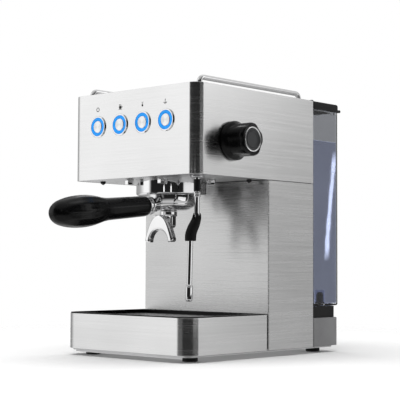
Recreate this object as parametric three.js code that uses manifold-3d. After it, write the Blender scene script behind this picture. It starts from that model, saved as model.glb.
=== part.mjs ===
// Espresso machine: a pump machine with a cantilevered head, a group with a bayonet portafilter,
// a steam wand, a pull-out drip drawer and a lift-off water tank.
// Millimetres, +X to the right of the person using it, +Y to the back, +Z up.
// Everything is drawn from the middle of the head's front face, with z = 0 on the worktop.
// The last lines move the whole machine so that its box stands centred on the origin.

import * as THREE from 'three';
import { mergeVertices } from 'three/addons/utils/BufferGeometryUtils.js';
import Module from 'manifold-3d';

const wasm = await Module();
wasm.setup();

// ---------- driving dimensions ----------

const HALF = 100; // half the width of the housing
const SHEET = 1.2; // steel sheet
const GAP = 0.3; // clearance between pieces that touch
const FINE = 36; // segments of a large circle
const MEDIUM = 20;
const COARSE = 16;

const HEAD = { bottom: 205, top: 306, depth: 209, radius: 12 };
const COLUMN = { front: 123, bottom: 8, top: HEAD.bottom - 0.6 };
const DRAWER = { front: -12, back: 121, bottom: 8, skinTop: 48.7, rimTop: 50, radius: 18 };
const GRID = { top: 45.5, thickness: 1, columns: 13, rows: 2, pitch: 13.2, slot: 46, slotWidth: 4.4 };
const PLATE = { top: 7.7, thickness: 1.8, front: -6, back: 258, halfWidth: 95 };
const FOOT = { radius: 8.7, height: 5.6, x: 78, frontY: 15, rearY: 237 };

const RAIL = { x: 87, front: 18, back: 197, z: 313.9, radius: 2.9, bend: 6 };
const WARMER = { top: 305.2, slots: 8, pitch: 21, slot: 62, slotWidth: 3.4 };

const BUTTON = { middle: -1.8, pitch: 36.8, z: 267, front: 1.4, travel: 2 };
const BUTTON_RADIUS = { cap: 7.1, hole: 11.5, bezel: 12.8 };
const KNOB = { y: 60, z: 245, back: HALF + 0.6, front: 129.4, skirtRadius: 22.2 };
const LOBES = { count: 5, radius: 18.1, rise: 1.1, turn: THREE.MathUtils.degToRad(28) };

const GROUP = { y: 65, radius: 41.2, bottom: 187, bore: 34.6, ledge: 3.4, ledgeBore: 30.4 };
const BOWL = { radius: 29.8, top: 195.5, bottom: 168.6, bore: 27.8, lugRadius: 34.2 };
const LUG_HALF_ANGLE = 21; // degrees
const GAP_CENTRE = -55; // the way in for a lug, measured from the lug's locked place
const GAP_HALF_ANGLE = 32;
const HANDLE = { y: 21.4, z: 173.2, drop: 5.5, rod: 6.8, socket: 40 };
const BOLT_PLACES = [[-24, 19.5], [46, 85]];
const SPOUT = { front: 43, lipBack: 52, back: 58, top: 164.5, bottom: 132, hubY: 60.5 };
const LIP = { halfWidth: 22, toe: 4, archHalfWidth: 14.8, archHeight: 14.5 };
const BLOCK = { halfWidth: 15.5, bottom: 148.5 }; // the spout's thicker middle
const CHANNEL = { radius: 1.6, elbowX: 13, elbowZ: 146, outletX: 18.6 };

const WAND = { x: 84, y: 18.6, ballZ: 208, radius: 2.9, bend: 22, upperZ: 158, lowerZ: 140 };
const TIP = { x: 78, y: 12.6, z: 65.7, radius: 4.1, length: 18 };
const LEAN = 1.1; // how far the lower run stands off the tip at its top, in X and in Y
const TANK = { halfWidth: 97, front: 212, back: 266, bottom: 56.5, top: 296.6, wall: 2.2, corner: 4.5 };
const OUTLET = { x: 84, y: 239 }; // where the tank's valve meets its dock
const GLAND = { x: -60, z: 25 };
const LID = { top: 306.6, ridge: 308.2, hingeY: 268.4, hingeZ: 298.7, hingeRadius: 1.8 };

// ---------- solids ----------

function toSolid(geometry) {
  const bare = new THREE.BufferGeometry();
  bare.setAttribute('position', geometry.getAttribute('position'));
  if (geometry.index) bare.setIndex(geometry.index);
  const merged = mergeVertices(bare, 1e-4);
  const vertProperties = new Float32Array(merged.getAttribute('position').array);
  const triVerts = new Uint32Array(merged.index.array);
  const solid = new wasm.Manifold(new wasm.Mesh({ numProp: 3, vertProperties, triVerts }));
  if (solid.volume() > 0) return solid;
  for (let i = 0; i < triVerts.length; i += 3) {
    [triVerts[i], triVerts[i + 1]] = [triVerts[i + 1], triVerts[i]];
  }
  return new wasm.Manifold(new wasm.Mesh({ numProp: 3, vertProperties, triVerts }));
}

function toGeometry(solid) {
  const result = solid.getMesh();
  const geometry = new THREE.BufferGeometry();
  geometry.setAttribute('position', new THREE.BufferAttribute(result.vertProperties, 3));
  geometry.setIndex(new THREE.BufferAttribute(result.triVerts, 1));
  geometry.computeVertexNormals();
  return geometry;
}

// One solid from the shapes in add, less the shapes in remove.
function solidOf(add, remove = []) {
  let solid = toSolid(add[0]);
  for (const shape of add.slice(1)) solid = solid.add(toSolid(shape));
  for (const shape of remove) solid = solid.subtract(toSolid(shape));
  return toGeometry(solid);
}

function box(x, y, z) {
  const shape = new THREE.BoxGeometry(x[1] - x[0], y[1] - y[0], z[1] - z[0]);
  return shape.translate((x[0] + x[1]) / 2, (y[0] + y[1]) / 2, (z[0] + z[1]) / 2);
}

function prism(shape, z, curveSegments = 6) {
  const settings = { depth: z[1] - z[0], bevelEnabled: false, curveSegments };
  return new THREE.ExtrudeGeometry(shape, settings).translate(0, 0, z[0]);
}

// A solid turned about the Z axis from [radius, height] points.
function turned(points, segments = MEDIUM) {
  const profile = points.map(([radius, height]) => new THREE.Vector2(radius, height));
  return new THREE.LatheGeometry(profile, segments).rotateX(Math.PI / 2);
}

// The same for a ring, whose profile closes on itself.
function turnedRing(points, segments = MEDIUM) {
  return turned([...points, points[0]], segments);
}

function cylinder(radius, z, segments = COARSE) {
  return turned([[0, z[0]], [radius, z[0]], [radius, z[1]], [0, z[1]]], segments);
}

// +Z turned to face the front (-Y), or the right (+X).
const towardsFront = (geometry) => geometry.rotateX(Math.PI / 2);
const towardsRight = (geometry) => geometry.rotateY(Math.PI / 2);

// A path through corner points, with an arc of the bend radius at each corner between the ends.
// It puts its sections only where the arcs need them, so a straight run has none in its middle.
class BentPath extends THREE.Curve {
  constructor(corners, bend, arcSteps) {
    super();
    const points = corners.map((corner) => new THREE.Vector3(...corner));
    this.sections = [[points[0], direction(points[0], points[1])]];
    for (let i = 1; i < points.length - 1; i += 1) {
      this.addArc(points[i - 1], points[i], points[i + 1], bend, arcSteps);
    }
    this.sections.push([points.at(-1), direction(points.at(-2), points.at(-1))]);
    this.steps = this.sections.length - 1;
  }

  addArc(before, corner, after, bend, arcSteps) {
    const arriving = direction(before, corner);
    const leaving = direction(corner, after);
    const turn = arriving.angleTo(leaving);
    const reach = bend * Math.tan(turn / 2);
    const inwards = leaving.clone().sub(arriving).normalize();
    const centre = corner.clone().addScaledVector(inwards, Math.hypot(bend, reach));
    const axis = new THREE.Vector3().crossVectors(arriving, leaving).normalize();
    const spoke = corner.clone().addScaledVector(arriving, -reach).sub(centre);
    for (let step = 0; step <= arcSteps; step += 1) {
      const angle = (turn * step) / arcSteps;
      const point = spoke.clone().applyAxisAngle(axis, angle).add(centre);
      this.sections.push([point, arriving.clone().applyAxisAngle(axis, angle)]);
    }
  }

  sectionAt(t, which) {
    const place = t * this.steps;
    const index = Math.min(Math.floor(place), this.steps - 1);
    const [from, to] = [this.sections[index][which], this.sections[index + 1][which]];
    return from.clone().lerp(to, place - index);
  }

  getPoint(t) {
    return this.sectionAt(t, 0);
  }

  getPointAt(t) {
    return this.sectionAt(t, 0);
  }

  getTangentAt(t) {
    return this.sectionAt(t, 1).normalize();
  }
}

function direction(from, to) {
  return new THREE.Vector3().subVectors(to, from).normalize();
}

function tube(corners, bend, radius, sides = 12, arcSteps = 4) {
  const section = new THREE.Shape();
  section.absarc(0, 0, radius, 0, 2 * Math.PI, false);
  const path = new BentPath(corners, bend, arcSteps);
  const settings = { steps: path.steps, bevelEnabled: false, extrudePath: path };
  return new THREE.ExtrudeGeometry(section, { ...settings, curveSegments: sides / 2 });
}

// An outline with round corners at the front (frontRadius) and at the back (backRadius).
function outline(x, y, frontRadius, backRadius = 0) {
  const shape = new THREE.Shape();
  shape.moveTo(x[0] + frontRadius, y[0]);
  shape.lineTo(x[1] - frontRadius, y[0]);
  shape.absarc(x[1] - frontRadius, y[0] + frontRadius, frontRadius, -Math.PI / 2, 0, false);
  shape.lineTo(x[1], y[1] - backRadius);
  if (backRadius > 0) {
    shape.absarc(x[1] - backRadius, y[1] - backRadius, backRadius, 0, Math.PI / 2, false);
  }
  shape.lineTo(x[0] + backRadius, y[1]);
  if (backRadius > 0) {
    shape.absarc(x[0] + backRadius, y[1] - backRadius, backRadius, Math.PI / 2, Math.PI, false);
  }
  shape.lineTo(x[0], y[0] + frontRadius);
  shape.absarc(x[0] + frontRadius, y[0] + frontRadius, frontRadius, Math.PI, 1.5 * Math.PI, false);
  return shape;
}

// A sheet bent round a front and two sides, open at the back.
function wrap(front, back, radius, z) {
  const outer = prism(outline([-HALF, HALF], [front, back], radius), z, 5);
  const halfInside = HALF - SHEET;
  const inside = outline([-halfInside, halfInside], [front + SHEET, back + 1], radius - SHEET);
  return { outer, inner: prism(inside, [z[0] - 1, z[1] + 1], 5) };
}

// The drawer's outline, smaller by inset all round.
function drawerOutline(inset) {
  const half = HALF - inset;
  return outline([-half, half], [DRAWER.front + inset, DRAWER.back - inset], DRAWER.radius - inset);
}

// A slot with six-sided ends, long in X or in Y.
function slotPath(x, y, length, width, alongX) {
  const half = length / 2;
  const side = width / 2;
  const corners = [[-half, 0], [-half + side, -side], [half - side, -side]];
  corners.push([half, 0], [half - side, side], [-half + side, side]);
  const path = new THREE.Path();
  path.setFromPoints(corners.map(([along, across]) => (
    alongX ? new THREE.Vector2(x + along, y + across) : new THREE.Vector2(x + across, y + along)
  )));
  path.closePath();
  return path;
}

// ---------- scene graph ----------

const machine = new THREE.Group();

const FINISH = {
  steel: { color: 0xc9cacb, roughness: 0.32, metalness: 1 },
  darkSteel: { color: 0xa9aaac, roughness: 0.3, metalness: 1 },
  chrome: { color: 0xe8e9ea, roughness: 0.08, metalness: 1 },
  aluminium: { color: 0xb4b6b8, roughness: 0.5, metalness: 1 },
  brass: { color: 0xc2a05a, roughness: 0.35, metalness: 1 },
  blackPlastic: { color: 0x101011, roughness: 0.35, metalness: 0 },
  capPlastic: { color: 0x3a3b3d, roughness: 0.5, metalness: 0 },
  rubber: { color: 0x0d0d0e, roughness: 0.75, metalness: 0 },
  greyPlastic: { color: 0x77797b, roughness: 0.45, metalness: 0 },
  tankPlastic: { color: 0xaab0c4, roughness: 0.1, metalness: 0, transparent: true, opacity: 0.45 },
  silicone: { color: 0xd9dadb, roughness: 0.5, metalness: 0 },
  board: { color: 0x1e5a35, roughness: 0.6, metalness: 0 },
};

function place(name, geometry, finish, parent = machine) {
  const mesh = new THREE.Mesh(geometry, new THREE.MeshStandardMaterial(FINISH[finish]));
  mesh.name = name;
  parent.add(mesh);
  return mesh;
}

function groupAt(x, y, z) {
  const group = new THREE.Group();
  group.position.set(x, y, z);
  machine.add(group);
  return group;
}

// ---------- base ----------

function makeBase() {
  const x = [-PLATE.halfWidth, PLATE.halfWidth];
  const under = PLATE.top - PLATE.thickness;
  const pan = prism(outline(x, [PLATE.front, PLATE.back], 8, 8), [under, PLATE.top]);
  const hem = box([-85, 85], [PLATE.front, PLATE.front + 1.5], [4, PLATE.top - 1]);
  place('base_plate', solidOf([pan, hem]), 'darkSteel');
  const profile = [[0, 0], [FOOT.radius - 0.8, 0], [FOOT.radius, 0.8], [FOOT.radius - 0.4, FOOT.height]];
  const corners = { front_left: [-1, FOOT.frontY], front_right: [1, FOOT.frontY] };
  Object.assign(corners, { rear_left: [-1, FOOT.rearY], rear_right: [1, FOOT.rearY] });
  for (const [corner, [side, y]] of Object.entries(corners)) {
    const foot = turned([...profile, [0, FOOT.height]], COARSE).translate(side * FOOT.x, y, 0);
    place(`foot_${corner}`, solidOf([foot]), 'rubber');
  }
}

// ---------- drip drawer ----------

function makeDrawer() {
  const skin = wrap(DRAWER.front, DRAWER.back, DRAWER.radius, [DRAWER.bottom, DRAWER.skinTop]);
  place('tray_skin', solidOf([skin.outer], [skin.inner]), 'steel');

  const body = SHEET + GAP;
  const ledgeZ = GRID.top - GRID.thickness - GAP;
  const walls = prism(drawerOutline(body), [DRAWER.bottom + 0.7, DRAWER.skinTop + GAP]);
  const rim = prism(drawerOutline(GAP), [DRAWER.skinTop + GAP, DRAWER.rimTop]);
  const basin = prism(drawerOutline(body + 5), [DRAWER.bottom + 2.9, DRAWER.rimTop + 1]);
  const seat = prism(drawerOutline(body + 2), [ledgeZ, DRAWER.rimTop + 1]);
  place('drip_tray', solidOf([walls, rim], [basin, seat]), 'blackPlastic');

  const plate = drawerOutline(body + 2.6);
  for (let row = 0; row < GRID.rows; row += 1) {
    for (let column = 0; column < GRID.columns; column += 1) {
      const x = (column - (GRID.columns - 1) / 2) * GRID.pitch;
      const y = (DRAWER.front + DRAWER.back) / 2 + (row - 0.5) * (GRID.slot + 10);
      plate.holes.push(slotPath(x, y, GRID.slot, GRID.slotWidth, false));
    }
  }
  place('drip_grid', solidOf([prism(plate, [GRID.top - GRID.thickness, GRID.top])]), 'steel');
}

// ---------- housing ----------

function makeHousing() {
  const height = [COLUMN.bottom, COLUMN.top];
  const frontSheet = box([-HALF, HALF], [COLUMN.front, COLUMN.front + SHEET], height);
  place('column_front', solidOf([frontSheet]), 'darkSteel');
  const sideY = [COLUMN.front + SHEET + GAP, HEAD.depth];
  place('side_panel_left', solidOf([box([-HALF, SHEET - HALF], sideY, height)]), 'steel');
  place('side_panel_right', solidOf([box([HALF - SHEET, HALF], sideY, height)]), 'steel');

  const inside = HALF - SHEET - GAP;
  const back = box([-inside, inside], [207.5, 208.7], [COLUMN.bottom, 303.5]);
  const hoseHole = towardsFront(cylinder(5, [-215, -200])).translate(OUTLET.x, 0, 48);
  place('back_panel', solidOf([back], [hoseHole]), 'darkSteel');

  const shell = wrap(0, HEAD.depth, HEAD.radius, [HEAD.bottom, HEAD.top]);
  const holes = buttonPlaces().map((x) => (
    towardsFront(cylinder(BUTTON_RADIUS.hole, [-5, 5], MEDIUM)).translate(x, 0, BUTTON.z)
  ));
  holes.push(towardsRight(cylinder(5, [HALF - 5, HALF + 5])).translate(0, KNOB.y, KNOB.z));
  place('head_shell', solidOf([shell.outer], [shell.inner, ...holes]), 'steel');

  const under = prism(outline([-inside, inside], [SHEET + GAP, 128], HEAD.radius - 1.5), [205.4, 206.6]);
  const openings = [
    cylinder(GROUP.radius + 0.4, [200, 210], FINE).translate(0, GROUP.y, 0),
    cylinder(8.2, [200, 210], MEDIUM).translate(WAND.x, WAND.y, 0),
    ...BOLT_PLACES.map(([x, y]) => cylinder(3.4, [200, 210]).translate(x, y, 0)),
  ];
  place('underside_plate', solidOf([under], openings), 'darkSteel');

  const warmer = outline([-inside, inside], [SHEET + GAP, 207.2], HEAD.radius - 1.5);
  for (const side of [-1, 1]) {
    for (let row = 0; row < WARMER.slots; row += 1) {
      const y = HEAD.depth / 2 + (row - (WARMER.slots - 1) / 2) * WARMER.pitch;
      warmer.holes.push(slotPath(side * 38, y, WARMER.slot, WARMER.slotWidth, true));
    }
  }
  place('cup_warmer', solidOf([prism(warmer, [WARMER.top - SHEET, WARMER.top])]), 'steel');
}

function makeRails() {
  const { front, back, z, bend, radius } = RAIL;
  for (const [name, side] of [['rail_left', -1], ['rail_right', 1]]) {
    const x = side * RAIL.x;
    const low = WARMER.top + 1;
    const rod = tube([[x, front, low], [x, front, z], [x, back, z], [x, back, low]], bend, radius);
    const flanges = [front, back].map((y) => (
      cylinder(5, [WARMER.top + GAP, WARMER.top + 1.5]).translate(x, y, 0)
    ));
    place(name, solidOf([rod, ...flanges]), 'chrome');
  }
}

// ---------- buttons and knob ----------

function buttonPlaces() {
  return [-1.5, -0.5, 0.5, 1.5].map((step) => BUTTON.middle + step * BUTTON.pitch);
}

function makeButtons() {
  const { front } = BUTTON;
  const neck = BUTTON_RADIUS.hole - GAP;
  const outer = BUTTON_RADIUS.bezel;
  const inner = BUTTON_RADIUS.cap + 0.4;
  const bezel = [
    [inner, -14], [neck, -14], [neck, GAP], [outer, GAP], [outer, front - 0.5], [outer - 0.6, front],
    [inner, front - 0.5],
  ];
  const radius = BUTTON_RADIUS.cap;
  const cap = [[0, -8], [radius, -8], [radius, front - 0.3], [radius - 0.4, front], [0, front]];
  buttonPlaces().forEach((x, index) => {
    const ring = towardsFront(turnedRing(bezel, MEDIUM)).translate(x, 0, BUTTON.z);
    place(`button_bezel_${index + 1}`, solidOf([ring]), 'chrome');
    const face = towardsFront(turned(cap, MEDIUM)).translate(x, 0, BUTTON.z);
    place(`button_cap_${index + 1}`, solidOf([face]), 'steel');
  });

  const card = box([-76, 76], [17.5, 19.1], [235, 295]);
  const switches = buttonPlaces().map((x) => (
    box([x - 3, x + 3], [8 + BUTTON.travel + 0.6, 18], [BUTTON.z - 3, BUTTON.z + 3])
  ));
  place('control_board', solidOf([card, ...switches]), 'board');
}

function knobOutline() {
  const shape = new THREE.Shape();
  const count = LOBES.count * 8;
  for (let i = 0; i < count; i += 1) {
    const angle = (i / count) * 2 * Math.PI;
    const radius = LOBES.radius + LOBES.rise * Math.cos(LOBES.count * (angle - LOBES.turn));
    const point = [radius * Math.cos(angle), radius * Math.sin(angle)];
    if (i === 0) shape.moveTo(...point);
    else shape.lineTo(...point);
  }
  shape.closePath();
  return shape;
}

function makeKnob() {
  const centre = groupAt(0, KNOB.y, KNOB.z);
  const { back, front, skirtRadius } = KNOB;
  const skirtFront = back + 7.5;
  const skirt = turned([
    [0, back], [skirtRadius, back], [skirtRadius, back + 4], [skirtRadius - 2.4, skirtFront],
    [0, skirtFront],
  ], FINE);
  const grip = prism(knobOutline(), [back + 5, front]);
  const recess = cylinder(14.3, [front - 1.6, front + 1], MEDIUM);
  const socket = cylinder(3.4, [back - 1, 118]);
  place('steam_knob', towardsRight(solidOf([skirt, grip], [recess, socket])), 'blackPlastic', centre);
  const ring = [[12.6, front - 1.3], [14, front - 1.3], [14, front + 0.2], [13.6, front + 0.6]];
  ring.push([13, front + 0.6], [12.6, front + 0.2]);
  place('knob_ring', towardsRight(solidOf([turnedRing(ring, MEDIUM)])), 'chrome', centre);
  const cap = cylinder(12.3, [front - 1.3, front], MEDIUM);
  place('knob_cap', towardsRight(solidOf([cap])), 'capPlastic', centre);
  place('valve_spindle', towardsRight(solidOf([cylinder(3, [62, 117.5])])), 'brass', centre);

  const valve = [cylinder(9, [50, 78]), cylinder(4, [30.8, 51])].map(towardsRight);
  const outlet = towardsFront(cylinder(4, [4, 9.2])).translate(66, 0, 0);
  const bore = towardsRight(cylinder(3.4, [60, 79]));
  place('steam_valve', solidOf([...valve, outlet], [bore]), 'brass', centre);
}

// ---------- group ----------

// A piece of a ring between two angles, in degrees.
function sector(inner, outer, from, to) {
  const start = THREE.MathUtils.degToRad(from);
  const end = THREE.MathUtils.degToRad(to);
  const shape = new THREE.Shape();
  shape.absarc(0, 0, outer, start, end, false);
  shape.absarc(0, 0, inner, end, start, true);
  shape.closePath();
  return shape;
}

function makeGroup() {
  const centre = groupAt(0, GROUP.y, 0);
  const { bottom, radius, bore, ledge, ledgeBore } = GROUP;
  const drum = turnedRing([
    [bore, bottom], [radius - 0.8, bottom], [radius, bottom + 0.8], [radius, 208], [bore, 208],
  ], FINE);
  const ledges = [0, 180].map((turn) => {
    const from = GAP_CENTRE + GAP_HALF_ANGLE + turn;
    const to = GAP_CENTRE - GAP_HALF_ANGLE + 180 + turn;
    return prism(sector(ledgeBore, bore + 0.5, from, to), [bottom, bottom + ledge], 6);
  });
  place('group_collar', solidOf([drum, ...ledges]), 'chrome', centre);

  const head = turnedRing([
    [2.5, 195.2], [20, 195.2], [20, 203.3], [34.2, 203.3], [34.2, 208.3], [58, 208.3], [58, 214],
    [2.5, 214],
  ], FINE);
  const boltHoles = BOLT_PLACES.map(([x, y]) => (
    cylinder(3.4, [207, 216]).translate(x, y - GROUP.y, 0)
  ));
  place('group_head', solidOf([head], boltHoles), 'aluminium', centre);
  const gasket = turnedRing([[26.2, 197], [33.6, 197], [33.6, 203], [26.2, 203]], MEDIUM);
  place('group_gasket', solidOf([gasket]), 'rubber', centre);
  const screen = [[0, 191.4], [4, 191.4], [4, 192.8], [25, 193.2], [25.6, 194.9], [0, 194.9]];
  place('shower_screen', solidOf([turned(screen, MEDIUM)]), 'steel', centre);
  const boiler = [[0, 214.3], [33, 214.3], [33, 219], [30, 219], [30, 268], [24, 275], [0, 277]];
  place('boiler', solidOf([turned(boiler, MEDIUM)]), 'aluminium', centre);

  const hex = new THREE.Shape();
  hex.absarc(0, 0, 5.3, 0, 2 * Math.PI, false);
  BOLT_PLACES.forEach(([x, y], index) => {
    const head6 = prism(hex, [198.6, 205.1], 3);
    const bolt = solidOf([head6, cylinder(3, [205, 213])]).translate(x, y, 0);
    place(index === 0 ? 'group_bolt_left' : 'group_bolt_right', bolt, 'chrome');
  });
}

// ---------- portafilter ----------

// Turned pieces of the handle lie along its own axis, which leaves the bowl to the front and down.
function alongHandle(geometry) {
  const tilt = Math.PI / 2 + THREE.MathUtils.degToRad(HANDLE.drop);
  return geometry.rotateX(tilt).translate(0, HANDLE.y, HANDLE.z);
}

function makePortafilter() {
  const { radius, top, bottom, bore, lugRadius } = BOWL;
  const bowl = turned([
    [0, bottom], [12, bottom], [20, bottom + 1.6], [26, bottom + 5.6], [29, bottom + 11.4],
    [radius, bottom + 17.4], [radius, top], [0, top],
  ], FINE).translate(0, GROUP.y, 0);
  const lugs = [0, 180].map((turn) => {
    const lug = sector(radius - 1, lugRadius, turn - LUG_HALF_ANGLE, turn + LUG_HALF_ANGLE);
    return prism(lug, [GROUP.bottom + GROUP.ledge + 0.5, top - 0.3], 3).translate(0, GROUP.y, 0);
  });
  const neck = alongHandle(turned([
    [0, -26], [6.6, -26], [9.4, -9.3], [HANDLE.rod, -9.3],
    [HANDLE.rod, HANDLE.socket - 1], [0, HANDLE.socket - 1],
  ], MEDIUM));
  const inside = turned([
    [0, 172], [24.5, 172], [bore, 175.6], [bore, top + 1], [0, top + 1],
  ], FINE).translate(0, GROUP.y, 0);
  const outlet = cylinder(3, [bottom - 1, 175]).translate(0, GROUP.y, 0);
  place('portafilter_body', solidOf([bowl, ...lugs, neck], [inside, outlet]), 'chrome');

  const basket = turned([
    [0, 173.4], [25.4, 173.4], [27.3, 175.8], [27.3, top + GAP], [29.4, top + GAP], [29.4, 196.6],
    [26.7, 196.6], [26.7, 176], [25.2, 174.1], [0, 174.1],
  ], MEDIUM).translate(0, GROUP.y, 0);
  place('filter_basket', solidOf([basket]), 'steel');

  const ferrule = [[7.1, -9], [10.2, -9], [10.7, -8.4], [10.7, -5.4], [10.1, -4.9], [10.1, -4.3]];
  ferrule.push([10.7, -3.8], [10.7, -GAP], [7.1, -GAP]);
  place('handle_ferrule', solidOf([alongHandle(turnedRing(ferrule, MEDIUM))]), 'chrome');

  const grip = [
    [0, HANDLE.socket], [7.1, HANDLE.socket], [7.1, 0], [10.8, 0], [11.7, 1.4], [12.3, 42], [12.5, 58],
    [13.6, 68], [16.2, 79], [17.8, 94], [17.4, 107], [15.7, 121], [11.8, 133], [6.4, 139], [0, 140.8],
  ];
  place('handle_grip', solidOf([alongHandle(turned(grip, MEDIUM))]), 'blackPlastic');
}

// The spout's lip, seen from the front: an arch that spreads out to a round toe on each side.
function lipOutline() {
  const { top, bottom } = SPOUT;
  const { halfWidth, toe, archHalfWidth, archHeight } = LIP;
  const shape = new THREE.Shape();
  shape.moveTo(0, top);
  shape.bezierCurveTo(10, top - 2, 15, bottom + 18, halfWidth, bottom + toe);
  shape.quadraticCurveTo(halfWidth + 0.5, bottom, halfWidth - toe, bottom);
  shape.lineTo(archHalfWidth, bottom);
  shape.absellipse(0, bottom, archHalfWidth, archHeight, 0, Math.PI, false, 0);
  shape.lineTo(toe - halfWidth, bottom);
  shape.quadraticCurveTo(-halfWidth - 0.5, bottom, -halfWidth, bottom + toe);
  shape.bezierCurveTo(-15, bottom + 18, -10, top - 2, 0, top);
  return shape;
}

function makeSpout() {
  const { front, lipBack, back, top, bottom, hubY } = SPOUT;
  const { radius, elbowX, elbowZ, outletX } = CHANNEL;
  const lip = towardsFront(prism(lipOutline(), [-lipBack, -front], 7));
  const block = box([-BLOCK.halfWidth, BLOCK.halfWidth], [lipBack - 1, back], [BLOCK.bottom, top]);
  const hub = cylinder(10.2, [top - 1, BOWL.bottom - GAP], MEDIUM).translate(0, hubY, 0);
  const middle = (front + lipBack) / 2;
  const channels = [-1, 1].map((side) => (
    tube([[0, middle, top - 6], [side * elbowX, middle, elbowZ], [side * outletX, middle, bottom - 1]],
      8, radius, 8, 3)
  ));
  const passages = [
    cylinder(2.5, [top - 1, 170], 12).translate(0, GROUP.y, 0),
    box([-2.5, 2.5], [middle - 1, GROUP.y + 2.5], [top - 7, top + 1.5]),
    ...channels,
  ];
  place('spout', solidOf([lip, block, hub], passages), 'chrome');
}

// ---------- steam wand ----------

const WAND_BENDS = [[WAND.x, WAND.y, WAND.upperZ], [TIP.x + LEAN, TIP.y + LEAN, WAND.lowerZ]];

// A point of the wand's straight lower run, which leans a little towards its tip.
function onLowerWand(z) {
  const corner = new THREE.Vector3(...WAND_BENDS[1]);
  const tip = new THREE.Vector3(TIP.x, TIP.y, TIP.z);
  return corner.clone().lerp(tip, (corner.z - z) / (corner.z - tip.z));
}

function makeWand() {
  const { x, y, ballZ, radius, bend } = WAND;
  const at = (geometry) => geometry.translate(x, y, 0);
  const socket = turnedRing([
    [4.6, 202], [6.6, 202], [7.6, 203], [7.6, 217.6], [3.4, 217.6], [3.4, 213.4], [6.4, 213.4],
    [6.4, 203.8], [4.6, 203.8],
  ], MEDIUM);
  place('wand_socket', solidOf([at(socket)]), 'darkSteel');
  const seat = turnedRing([[4.9, 210.8], [6, 210.8], [6, 213], [3.6, 213], [3.6, 212.6]], COARSE);
  place('wand_seat', solidOf([at(seat)]), 'silicone');

  const sphere = new THREE.SphereGeometry(5.2, COARSE, 8).rotateX(Math.PI / 2);
  const ball = at(sphere.translate(0, 0, ballZ));
  const collar = at(turned([
    [0, 180.6], [3.4, 180.6], [4, 181.4], [4, 185.6], [3.4, 186.4], [0, 186.4],
  ], COARSE));
  const nozzleTop = TIP.z + TIP.length;
  const pipe = [[x, y, ballZ - 3], ...WAND_BENDS, onLowerWand(nozzleTop + GAP).toArray()];
  place('wand_tube', solidOf([tube(pipe, bend, radius), ball, collar]), 'chrome');
  const sleeve = turnedRing([[3.25, 186.9], [3.8, 186.9], [3.8, 200.4], [3.25, 200.4]], COARSE);
  place('wand_sleeve', solidOf([at(sleeve)]), 'rubber');

  const cover = tube([[x, y, 163.5], ...WAND_BENDS, onLowerWand(132).toArray()], bend, 6.3);
  place('wand_grip', solidOf([cover], [tube(pipe, bend, radius + GAP)]), 'rubber');

  const r = TIP.radius;
  const nozzle = turned([
    [0, 9], [1.2, 9], [1.2, 0], [2.6, 0], [r - 0.4, 2.4], [r, 6], [r, TIP.length - 0.7],
    [r - 0.9, TIP.length], [0, TIP.length],
  ], COARSE);
  const up = onLowerWand(nozzleTop).sub(onLowerWand(TIP.z)).normalize();
  nozzle.applyQuaternion(new THREE.Quaternion().setFromUnitVectors(new THREE.Vector3(0, 0, 1), up));
  place('wand_nozzle', solidOf([nozzle.translate(TIP.x, TIP.y, TIP.z)]), 'chrome');

  const feed = [[66, KNOB.y - 9.5, KNOB.z], [66, 30, KNOB.z], [x, y, 238], [x, y, 217.9]];
  place('steam_pipe', solidOf([tube(feed, 8, 2.2, 8)]), 'silicone');
}

// ---------- water ----------

function makeTank() {
  const { halfWidth, front, back, bottom, top, wall, corner } = TANK;
  const x = [-halfWidth, halfWidth];
  const shell = prism(outline(x, [front, back], 3, corner), [bottom, top]);
  const flange = prism(outline(x, [front, back + 3.5], 3, corner), [top - 2.2, top]);
  const insideX = [wall - halfWidth, halfWidth - wall];
  const inner = outline(insideX, [front + wall, back - wall], 1.5, corner - wall);
  const cavity = prism(inner, [bottom + wall, top + 1]);
  const hole = cylinder(5, [bottom - 1, bottom + 4]).translate(OUTLET.x, OUTLET.y, 0);
  place('water_tank', solidOf([shell, flange], [cavity, hole]), 'tankPlastic');
  const plug = turned([
    [0, 57.2], [4.6, 57.2], [4.6, 59.1], [7.5, 59.1], [7.5, 61], [5.5, 61], [5.5, 71], [3, 73], [0, 73],
  ], COARSE).translate(OUTLET.x, OUTLET.y, 0);
  place('tank_valve', solidOf([plug]), 'blackPlastic');
}

function makeLid() {
  const half = TANK.halfWidth + 1;
  const y = [TANK.front - 0.2, TANK.back + 0.2];
  const bottom = TANK.top + GAP;
  const wall = 2.4;
  const block = prism(outline([-half, half], y, 3, TANK.corner + 0.5), [bottom, LID.top]);
  const inner = outline([wall - half, half - wall], [y[0] + wall, y[1] - wall], 1.5, TANK.corner - 2);
  const hollow = prism(inner, [bottom - 1, LID.top - 2.2]);
  const ridge = box([-half + 3, half - 3], [y[0] + 1.5, y[0] + 5.5], [LID.top - 1, LID.ridge]);
  const hinges = [-78, 78].flatMap((x) => [
    towardsRight(cylinder(LID.hingeRadius, [x - 19, x + 19], 12)).translate(0, LID.hingeY, LID.hingeZ),
    box([x - 19, x + 19], [y[1] - 2, LID.hingeY], [LID.hingeZ - 1, LID.hingeZ + 1.4]),
  ]);
  place('tank_lid', solidOf([block, ridge, ...hinges], [hollow]), 'blackPlastic');
}

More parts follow.
